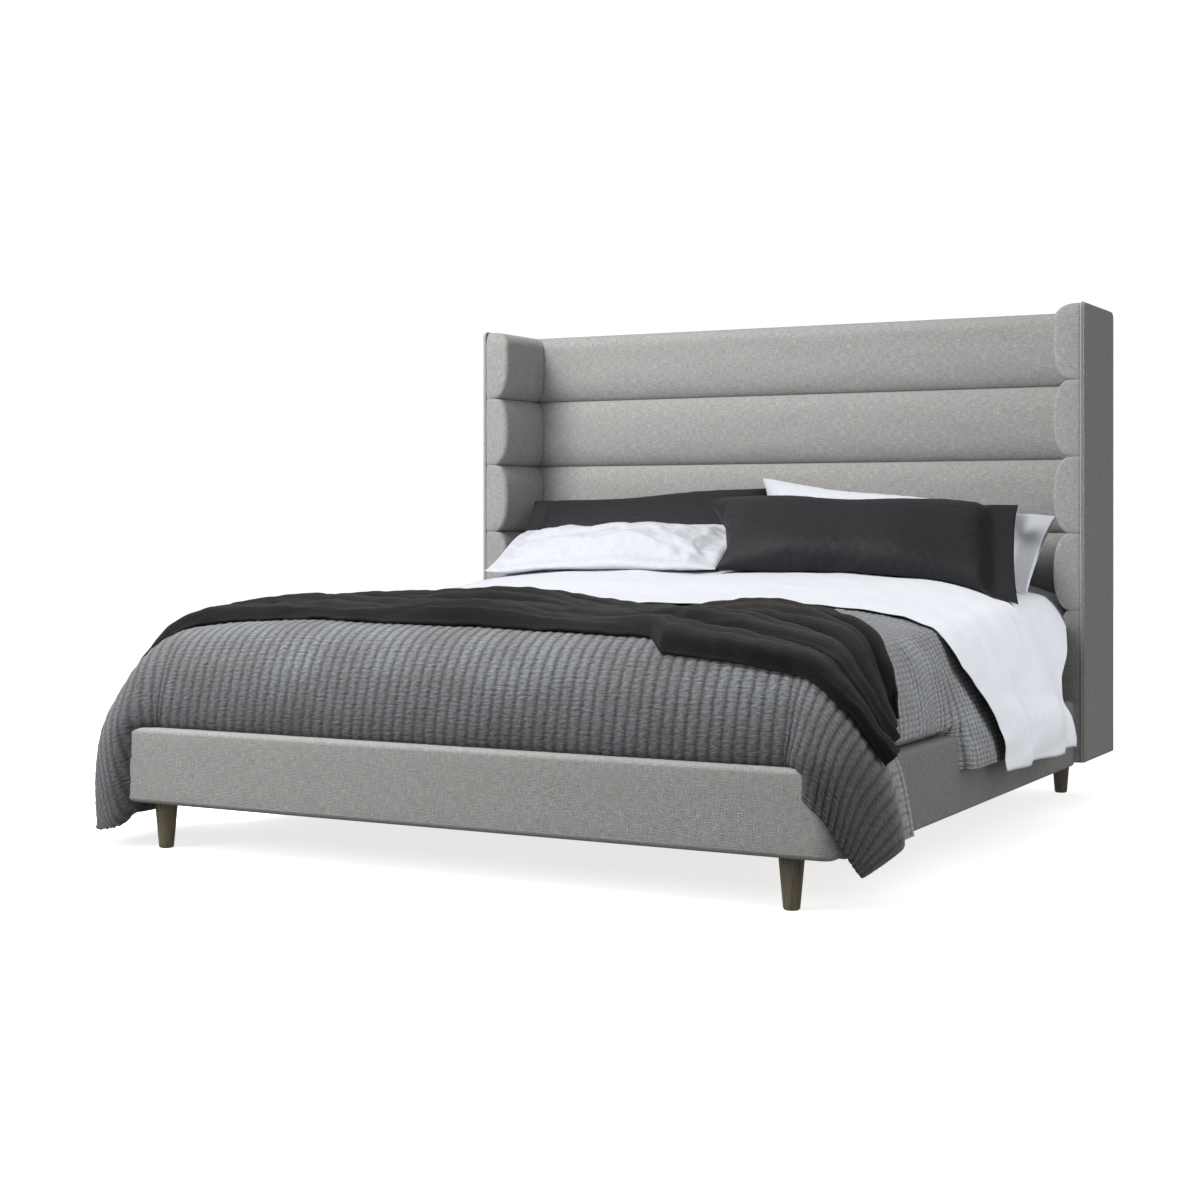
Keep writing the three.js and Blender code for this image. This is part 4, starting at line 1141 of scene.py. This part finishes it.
def sheet_at(u, v, side):
    """Where the sheet at u from the middle and v along lies, for one side, and how far it has dropped."""
    p = np.maximum(u - EDGE_X, 0)
    x0 = np.minimum(u, EDGE_X)
    path = side_hang if side > 0 else sheet_tuck
    drop = path(p)
    on_side = p > 0
    x = x0 + np.where(on_side, drop[..., 0], 0)
    top = bed_top(x0, v)
    z = top + np.where(on_side, drop[..., 1], 0) - (top - 0.615) * ease(0.05, 0.30, p)
    return np.stack([side * x, v + 0 * u, z], -1), p


u_line = even_steps(-EDGE_X - 0.34, EDGE_X + SHEET_SIDE, 0.0085)
u_grid, back_share = np.meshgrid(u_line, np.linspace(0, 1, 132))
edge_v = np.interp(u_grid, SHEET_EDGE[:, 0], SHEET_EDGE[:, 1])
rear_v = SHEET_REAR - 0.44 * ease(EDGE_X - 0.02, EDGE_X + 0.34, u_grid)
v_place = edge_v + (rear_v - edge_v) * back_share
where = np.zeros(u_grid.shape + (3,))
drop = np.zeros(u_grid.shape)
for side in (-1, 1):
    half = u_grid * side >= 0
    where[half], drop[half] = sheet_at(np.abs(u_grid[half]), v_place[half], side)
lift = 0.012 + 0.0035 * waves(u_grid * 0.55, v_place, 51, 0.30, 3)
ease_down = ease(0.10, 0.42, drop) * (u_grid > 0)
wander = 0.12 * waves(u_grid, v_place, 53, 0.6, 1)
pleats = np.sin(2 * math.pi * (v_place / PLEAT_PITCH + 0.35 * drop + wander))
lift = lift + ease_down * (0.012 + 0.016 * pleats + 0.006 * waves(u_grid, v_place, 55, 0.22, 2))
out = normals_of(where)
out *= np.sign(out[:, u_line.size // 2, 2].mean())
where = where + out * lift[..., None]
HEM_ROW = 4  # the hem is sewn this many rows from the edge
sheet_hem = (where + out * 0.0010)[HEM_ROW, u_line > -0.95]
sheet_side_hem = (where + out * 0.0010)[HEM_ROW:-HEM_ROW, -HEM_ROW]
keep = ~((where[..., 2] < 0.27) & (u_grid < 0))
keep = keep[:-1, :-1] & keep[1:, :-1] & keep[:-1, 1:] & keep[1:, 1:]
sheet_uv = np.stack([u_grid, v_place], -1)
flat_sheet, _ = grid_sheet("turned_down_sheet", where, sheet_uv, white_percale, keep)
thicken(flat_sheet, 0.0014, 1.0)
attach(flat_sheet, "bed")
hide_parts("flat_sheet")
print("flat sheet", len(flat_sheet.data.polygons), "faces")

# %% [markdown]
# ## The throw
# The throw was dropped across the foot of the bed, so its cloth is bunched in long soft ridges that
# wander, and that fan together where it runs down the right side. Two lines, seen from above, say where
# its front and rear edges lie.

# %% Throw
front_line = np.array([(-1.22, -0.96), (-0.95, -0.92), (-0.75, -0.89), (-0.45, -0.90), (-0.07, -0.905),
                       (0.25, -0.935), (0.50, -0.965), (0.55, -1.02), (0.72, -1.03), (0.90, -1.05),
                       (1.05, -1.05), (1.27, -1.0)])
rear_line = np.array([(-1.22, -0.62), (-0.75, -0.50), (-0.30, -0.44), (0.0, -0.42), (0.33, -0.47),
                      (0.61, -0.52), (0.75, -0.56), (0.90, -0.66), (1.05, -0.74), (1.27, -0.79)])
u_line = even_steps(-1.20, 1.235, 0.0075)
t_line = np.linspace(0, 1, 120)
u_grid, t_grid = np.meshgrid(u_line, t_line)
front = np.interp(u_grid, front_line[:, 0], front_line[:, 1])
rear = np.interp(u_grid, rear_line[:, 0], rear_line[:, 1])
v_grid = front + (rear - front) * t_grid
u_grid = u_grid - 0.30 * np.maximum(u_grid - 0.9, 0) * t_grid
where = np.zeros(u_grid.shape + (3,))
for side in (-1, 1):
    half = u_grid * side >= 0
    where[half] = coverlet_at(np.abs(u_grid[half]), v_grid[half], side)[0]
out = normals_of(where)
out *= np.sign(out[:, u_line.size // 2, 2].mean())
squeeze = ease(0.2, 1.1, u_grid)
drift = 0.38 * waves(u_grid, 0.25 * t_grid, 61, 1.5, 2)
fine_drift = 0.5 * waves(u_grid, 0.6 * t_grid, 62, 0.9, 2)
big = np.abs(np.sin(math.pi * (3.7 * t_grid + drift + 0.15))) ** 0.6
small = np.abs(np.sin(math.pi * (8.3 * t_grid + fine_drift + 0.6))) ** 0.9
vary = 0.65 + 0.35 * waves(u_grid, t_grid * 0.7, 63, 0.9, 2)
edge = ease(0, 0.06, t_grid) * ease(1, 0.88, t_grid) * (1 - 0.15 * ease(-0.2, -0.8, u_grid))
ridges = vary * ((0.034 + 0.014 * squeeze) * big + 0.010 * small)
lift = 0.014 + 0.020 * ease(-0.25, -0.7, u_grid) * edge + edge * ridges
lift = lift + 0.0025 * waves(u_grid, v_grid, 65, 0.14, 2)
where = where + out * lift[..., None]
paces = np.linalg.norm(np.diff(where, axis=0), axis=2)
cloth_v = np.cumsum(np.concatenate([np.zeros((1, u_line.size)), paces]), axis=0)
throw, used = grid_sheet("knitted_throw", where, np.stack([u_grid, cloth_v], -1), throw_knit)
fold_height = throw.data.attributes.new("ridge", "FLOAT", "POINT")
fold_height.data.foreach_set("value", big.ravel()[used].astype(np.float32))
thicken(throw, 0.007, -1.0)
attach(throw, "bed")
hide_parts("throw_blanket")
print("throw", len(throw.data.polygons), "faces")

# %% [markdown]
# ## The pillows
# A pillow is a flat case filled until it is round, so that is how it is made: two layers of cloth
# joined at the rim, blown up from inside by Blender's cloth simulation. The rim then pulls in and
# puckers by itself. Afterwards the pillow is leant back and pressed flat where it rests.

# %% Blow up a pillow
PILLOW_FRAMES = 12
PRESSURE = 2.2
CASE_GRID = (84, 44)  # faces across and up each layer of a case
CASE_SLACK = -0.006  # below zero the case grows by this share, so that it wrinkles
MOUTH = 0.014  # how far the open end of a case gapes
HEM_START = 0.80  # where the filling stops before the open end, as a share of the half length


def points_of(piece):
    flat = np.empty(len(piece.data.vertices) * 3, np.float32)
    piece.data.vertices.foreach_get("co", flat)
    return flat.reshape(-1, 3).astype(float)


def move_points(piece, points):
    piece.data.vertices.foreach_set("co", np.asarray(points, np.float32).ravel())
    piece.data.update()


def crowned_case(name, half_x, half_y, thick, open_end, material):
    """Two crowned layers joined at the rim; an open case keeps one end flat and unjoined."""
    across, along = CASE_GRID
    x, y = np.meshgrid(np.linspace(-1, 1, across + 1), np.linspace(-1, 1, along + 1))
    ear = 1 + 0.018 * (np.abs(x) * np.abs(y)) ** 4
    pull_x = 1 - 0.030 * (1 - y ** 2) * (1 if not open_end else np.where(x > 0, 0.3, 1))
    pull_y = 1 - 0.045 * (1 - x ** 2)
    round_end = (1 - np.abs(x) ** 3.4) ** 0.56
    if open_end:
        filled = np.maximum(1 - (np.clip(x, 0, 1) / (HEM_START + 0.06)) ** 2.4, 0) ** 0.7
        mouth = MOUTH / thick * ease(0, 1, x)
        round_end = np.where(x > 0, np.maximum(filled, mouth), round_end)
    z = thick / 2 * round_end * (1 - np.abs(y) ** 2.5) ** 0.62
    top = np.stack([x * half_x * ear * pull_x, y * half_y * ear * pull_y, z], -1)
    rows, columns = along + 1, across + 1
    i, j = np.meshgrid(np.arange(along), np.arange(across), indexing="ij")
    i, j = i.ravel(), j.ravel()
    first = i * columns + j
    quad = np.stack([first, first + 1, first + columns + 1, first + columns], 1)
    quads = np.concatenate([quad, quad[:, ::-1] + rows * columns])
    points = np.concatenate([top.reshape(-1, 3), (top * [1, 1, -1]).reshape(-1, 3)])
    if open_end < 0:
        points[:, 0] *= -1
        quads = quads[:, ::-1]
    corners = quads.ravel()
    piece = make_piece(name, points, corners, [4] * (2 * len(i)), points[corners][:, :2], material)
    return turn_out(piece)


def fill_pillow(piece, half_x, open_end, seed):
    """Runs the cloth simulation with pressure inside and no gravity, and keeps the result."""
    start = points_of(piece)
    draw = np.random.default_rng(seed)
    uneven = np.zeros(start.shape)
    uneven[:, 2] = draw.normal(0, 0.0008, len(start))
    move_points(piece, start + uneven)
    past_hem = ease(HEM_START - 0.04, HEM_START + 0.06, open_end * start[:, 0] / half_x)
    filled = piece.vertex_groups.new(name="filled")
    for index, share in enumerate(1 - past_hem):
        filled.add([index], float(share), "REPLACE")
    cloth = piece.modifiers.new("filling", "CLOTH")
    cloth.settings.quality = 7
    cloth.settings.mass = 0.25
    cloth.settings.tension_stiffness = 20
    cloth.settings.compression_stiffness = 20
    cloth.settings.shear_stiffness = 8
    cloth.settings.bending_stiffness = 1.6
    cloth.settings.shrink_min = CASE_SLACK
    cloth.settings.shrink_max = CASE_SLACK
    cloth.settings.use_pressure = True
    cloth.settings.uniform_pressure_force = PRESSURE
    cloth.settings.vertex_group_pressure = "filled"
    cloth.settings.effector_weights.gravity = 0
    cloth.point_cache.frame_start = 1
    cloth.point_cache.frame_end = PILLOW_FRAMES
    for step in range(1, PILLOW_FRAMES + 1):
        bpy.context.scene.frame_set(step)
    apply_modifiers(piece)
    bpy.context.scene.frame_set(1)
    keep = past_hem[:, None]
    move_points(piece, points_of(piece) * (1 - keep) + start * keep)


def soft_floor(value, limit, softness):
    """Keeps a value above a limit, with a smooth join."""
    over = (value - limit) / softness
    return limit + softness * np.where(over > 20, over, np.log1p(np.exp(np.minimum(over, 20))))


# cloth, slot, thickness, open end (1 right, -1 left), seed, and where its corners lie:
# front left, front right, rear left, rear right
PILLOWS = {
    "back_left_pillow": (
        charcoal_sateen, "dark_pillowcase", 0.120, -1, 71,
        [(-0.93, 0.72, 0.71), (-0.05, 0.70, 0.71), (-0.945, 0.93, 0.935), (-0.03, 1.00, 0.995)]),
    "back_right_pillow": (
        white_percale, "white_pillowcase", 0.125, 1, 72,
        [(0.0, 0.68, 0.71), (0.94, 0.64, 0.655), (-0.075, 0.96, 1.02), (0.95, 0.93, 0.89)]),
    "front_left_pillow": (
        white_percale, "white_pillowcase", 0.205, 0, 73,
        [(-0.78, 0.31, 0.71), (0.07, 0.30, 0.71), (-0.87, 0.74, 0.835), (0.03, 0.72, 0.86)]),
    "front_right_pillow": (
        charcoal_sateen, "dark_pillowcase", 0.140, 1, 74,
        [(0.085, 0.25, 0.715), (0.975, 0.44, 0.610), (-0.135, 0.65, 0.940), (0.865, 0.80, 0.925)]),
}
TOP_SAG = 0.07  # how far the rear edge of a pillow sags between its corners, as a share of its height
ABOVE_BED = 0.016  # room for the sheet below a pillow
FRONT_REST = (0.67, 0.71)  # the front pillows lean on a slanting plane through this y and z
REST_SLOPE = 0.98
HEM_SEAM = 0.81  # where the hem of a case is sewn, as a share of its half length
HEM_SEAMS = {}


def spread(corners, points, half_wide, half_high):
    """Lays a flat pillow over the patch between four corners, with its thickness square to it."""
    a, b, c, d = (np.array(corner)[None] for corner in corners)
    s = (points[:, :1] / half_wide + 1) / 2
    t = (points[:, 1:2] / half_high + 1) / 2
    t = t - TOP_SAG * t ** 2 * np.sin(math.pi * np.clip(s * 1.25, 0, 1)) ** 2
    patch = (a * (1 - s) + b * s) * (1 - t) + (c * (1 - s) + d * s) * t
    along = (b - a) * (1 - t) + (d - c) * t
    upward = (c - a) * (1 - s) + (d - b) * s
    out = np.cross(along, upward)
    out /= np.linalg.norm(out, axis=1, keepdims=True)
    return patch + out * points[:, 2:]


def hem_seam(points, half_wide, half_high, open_end):
    """A line across the upper side of a flat case, where its hem is sewn."""
    steps = np.linspace(-0.93, 0.93, 60) * half_high
    line = np.stack([0 * steps + open_end * HEM_SEAM * half_wide, steps, 0 * steps], 1)
    upper = points[points[:, 2] > 0]
    apart = ((line[:, None, :2] - upper[None, :, :2]) ** 2).sum(axis=2)
    line[:, 2] = upper[apart.argmin(axis=1), 2] + 0.0010
    return line


def pillow(node, look, slot, thick, open_end, seed, corners):
    """Makes a pillow, leans it back over its four corners, and presses it where it rests."""
    a, b, c, d = (Vector(corner) for corner in corners)
    half_wide = ((b - a).length + (d - c).length) / 4
    half_high = ((c - a).length + (d - b).length) / 4
    piece = crowned_case(f"{node}_case", half_wide, half_high, thick, open_end, look)
    fill_pillow(piece, half_wide, open_end, seed)
    points = points_of(piece)
    points -= (points.min(axis=0) + points.max(axis=0)) / 2
    points[:, :2] *= np.array([half_wide, half_high]) / np.ptp(points[:, :2], axis=0) * 2
    points[:, 2] += 0.010 * waves(points[:, 0], points[:, 1], seed, 0.8, 2)
    count = len(points)
    if open_end:
        points = np.concatenate([points, hem_seam(points, half_wide, half_high, open_end)])
    placed = spread(corners, points, half_wide, half_high)
    below = bed_top(placed[:, 0], placed[:, 1]) + ABOVE_BED
    placed[:, 2] = soft_floor(placed[:, 2], below, 0.010)
    behind = FRONT_REST[0] + REST_SLOPE * (placed[:, 2] - FRONT_REST[1])
    if node.startswith("back"):
        behind = ROLL_CROWN + 0.002
    placed[:, 1] = -soft_floor(-placed[:, 1], -behind, 0.010)
    move_points(piece, placed[:count])
    HEM_SEAMS[node] = placed[count:]
    smooth = piece.modifiers.new("fine cloth", "SUBSURF")
    smooth.levels = smooth.render_levels = 1
    apply_modifiers(piece)
    if open_end:
        thicken(piece, 0.0014, -1.0)
    piece.data.shade_smooth()
    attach(piece, "bed")
    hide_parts(node)
    return piece


for node, settings in PILLOWS.items():
    made = pillow(node, *settings)
    print(node, len(made.data.polygons), "faces")

# %% [markdown]
# ## Stitches and staples
# The hems of the sheet, the coverlet and the pillowcases are sewn with visible stitches, and staples
# hold the dust cloth to the back. One Geometry Nodes tree makes them all: it walks along a path, sets
# a small rounded bar at every step, turns it along the path with a little play, and joins the bars.

# %% Bars along a path
def socket(tree, name, kind, value=None, out=False):
    made = tree.interface.new_socket(name=name, in_out="OUTPUT" if out else "INPUT", socket_type=kind)
    if value is not None:
        made.default_value = value
    return made.identifier


def bars_tree(material):
    """The node tree, and the identifiers of its named inputs."""
    tree = bpy.data.node_groups.new("bars_along_a_path", "GeometryNodeTree")
    names = {"Path": socket(tree, "Path", "NodeSocketGeometry")}
    for name, value in (("Spacing", 0.005), ("Length", 0.003), ("Width", 0.0008), ("Play", 0.05)):
        names[name] = socket(tree, name, "NodeSocketFloat", value)
    socket(tree, "Bars", "NodeSocketGeometry", out=True)
    given = put(tree, "NodeGroupInput").outputs
    line = put(tree, "GeometryNodeMeshToCurve", {"Mesh": given["Path"]}).outputs[0]
    steps = put(tree, "GeometryNodeResampleCurve", {"Curve": line, "Length": given["Spacing"]},
                mode="LENGTH")
    bar = put(tree, "GeometryNodeMeshUVSphere", {"Segments": 6, "Rings": 4, "Radius": 0.5}).outputs["Mesh"]
    heading = put(tree, "GeometryNodeInputTangent").outputs[0]
    turned = put(tree, "FunctionNodeAlignRotationToVector", {"Vector": heading}, axis="X").outputs[0]
    play = put(tree, "FunctionNodeRandomValue", {"Seed": 7}, data_type="FLOAT_VECTOR")
    centred = put(tree, "ShaderNodeVectorMath", {0: play, 1: (0.5, 0.5, 0.5)}, operation="SUBTRACT")
    scaled = put(tree, "ShaderNodeVectorMath", {0: centred, "Scale": given["Play"]}, operation="SCALE")
    shaken = put(tree, "FunctionNodeRotateRotation", {"Rotation": turned, "Rotate By": scaled})
    size = put(tree, "ShaderNodeCombineXYZ", {0: given["Length"], 1: given["Width"], 2: given["Width"]})
    placed = put(tree, "GeometryNodeInstanceOnPoints", {"Points": steps, "Instance": bar,
                                                        "Rotation": shaken, "Scale": size})
    joined = put(tree, "GeometryNodeRealizeInstances", {"Geometry": placed})
    made = put(tree, "GeometryNodeSetMaterial", {"Geometry": joined, "Material": material})
    put(tree, "NodeGroupOutput", {"Bars": made})
    return tree, names


def bars(name, paths, material, slot, **sizes):
    """Bars along each path, as one plain mesh."""
    points = np.concatenate(paths)
    edges, start = [], 0
    for path in paths:
        edges += [(start + k, start + k + 1) for k in range(len(path) - 1)]
        start += len(path)
    mesh = bpy.data.meshes.new(f"{name}_path")
    mesh.from_pydata(points.tolist(), edges, [])
    guide = bpy.data.objects.new(f"{name}_path", mesh)
    bpy.context.scene.collection.objects.link(guide)
    tree, names = bars_tree(material)
    walk = guide.modifiers.new("bars", "NODES")
    walk.node_group = tree
    for key, value in sizes.items():
        walk[names[key]] = value
    bpy.context.view_layer.update()
    graph = bpy.context.evaluated_depsgraph_get()
    plain = bpy.data.meshes.new_from_object(guide.evaluated_get(graph), depsgraph=graph)
    bpy.data.objects.remove(guide)
    piece = bpy.data.objects.new(name, plain)
    bpy.context.scene.collection.objects.link(piece)
    piece.data.shade_smooth()
    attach(piece, "bed")
    print(name, len(plain.polygons), "faces")


# %% Hem stitches and staples
white_thread = linen("white_cotton_thread", "#D5D7DA", "#E6E8EA", 0.1, 0.6)
black_thread = linen("charcoal_cotton_thread", "#303036", "#3A3A40", 0.1, 0.6)
grey_thread = linen("grey_cotton_thread", "#77797C", "#8C8E91", 0.1, 0.6)
bars("white_hem_stitches", [sheet_hem, sheet_side_hem, HEM_SEAMS["back_right_pillow"]],
     white_thread, "white_cotton", Spacing=0.0052, Length=0.0036, Width=0.0011)
bars("charcoal_hem_stitches", [HEM_SEAMS["back_left_pillow"], HEM_SEAMS["front_right_pillow"]],
     black_thread, "dark_pillowcase", Spacing=0.0052, Length=0.0036, Width=0.0011)
bars("coverlet_hem_stitches", [front_hem, side_hem], grey_thread, "quilted_cotton",
     Spacing=0.0065, Length=0.0044, Width=0.0013)
STAPLE_INSET = 0.012
back_corners = np.array([corner[:] for corner in back.bound_box])
x0, _, z0 = back_corners.min(axis=0) + STAPLE_INSET
x1, _, z1 = back_corners.max(axis=0) - STAPLE_INSET
wall_side = back_corners[:, 1].max() + 0.0001
rim = np.array([(x, wall_side, z) for x, z in ((x0, z0), (x1, z0), (x1, z1), (x0, z1), (x0, z0))])
bars("dust_cloth_staples", [rim], zinc_steel, "steel", Spacing=0.045, Length=0.012, Width=0.0011, Play=0.25)

# %% [markdown]
# ## Floor, lights and background
# A plain pale floor and a white surround. One large soft light stands high on the left in front, with
# a weaker one low in front and a faint one on the right, so that the sides that face right fall into
# shade. A fourth light brightens only the bedding on the right, as a reflector beside the bed would.

# %% Floor
floor_look, tree, surface = finish_named("matt_white_floor", 0.9)
surface.inputs["Base Color"].default_value = linear("#F4F4F3")
surface.inputs["Emission Color"].default_value = (1, 1, 1, 1)
surface.inputs["Emission Strength"].default_value = 0.75
bpy.ops.mesh.primitive_circle_add(vertices=96, radius=14, fill_type="NGON", location=(0, 0, 0))
floor = bpy.context.object
floor.name = "studio_floor"
floor.data.materials.append(floor_look)
floor.visible_diffuse = False
floor.visible_glossy = False
print("floor", floor.name)


# %% Lights
def area_light(name, place, target, size, power):
    data = bpy.data.lights.new(name, "AREA")
    data.shape = "RECTANGLE"
    data.size, data.size_y = size
    data.energy = power
    light = bpy.data.objects.new(name, data)
    light.location = place
    light.rotation_euler = (Vector(target) - Vector(place)).to_track_quat("-Z", "Y").to_euler()
    bpy.context.scene.collection.objects.link(light)
    return light


area_light("key", (-1.9, -2.6, 4.3), (0.0, 0.6, 0.7), (2.2, 2.2), 270)
area_light("front", (-3.6, -5.0, 2.6), (0, -1.0, 0.3), (3.0, 2.0), 85)
area_light("right", (5.5, -1.5, 1.2), (0.5, 0.0, 0.5), (3.0, 2.0), 22)
bedding_fill = area_light("bedding_fill", (4.6, 0.2, 2.4), (0.7, 0.1, 0.5), (2.0, 2.0), 155)
bedding = bpy.data.collections.new("bedding_lit_from_the_right")
for name in ("quilted_coverlet", "turned_down_sheet", "fitted_sheet_cloth", "knitted_throw",
             "back_right_pillow_case"):
    bedding.objects.link(bpy.data.objects[name])
bedding_fill.light_linking.receiver_collection = bedding

# %% Surround
world = bpy.data.worlds.new("white_surround")
bpy.context.scene.world = world
world.use_nodes = True
air = world.node_tree
air.nodes.clear()
seen = put(air, "ShaderNodeLightPath").outputs["Is Camera Ray"]
place = put(air, "ShaderNodeTexCoord").outputs["Generated"]
height = put(air, "ShaderNodeSeparateXYZ", {0: place}).outputs[2]
surround = ramp(air, height, -0.4, 0.7, 0.19, 0.50)
strength = put(air, "ShaderNodeMix", {0: seen, 2: surround, 3: 1.05}, data_type="FLOAT").outputs[0]
sky = put(air, "ShaderNodeBackground", {"Color": (1, 1, 1, 1), "Strength": strength})
put(air, "ShaderNodeOutputWorld", {"Surface": sky})
bpy.context.scene.view_settings.view_transform = "Standard"
print("surround", world.name)
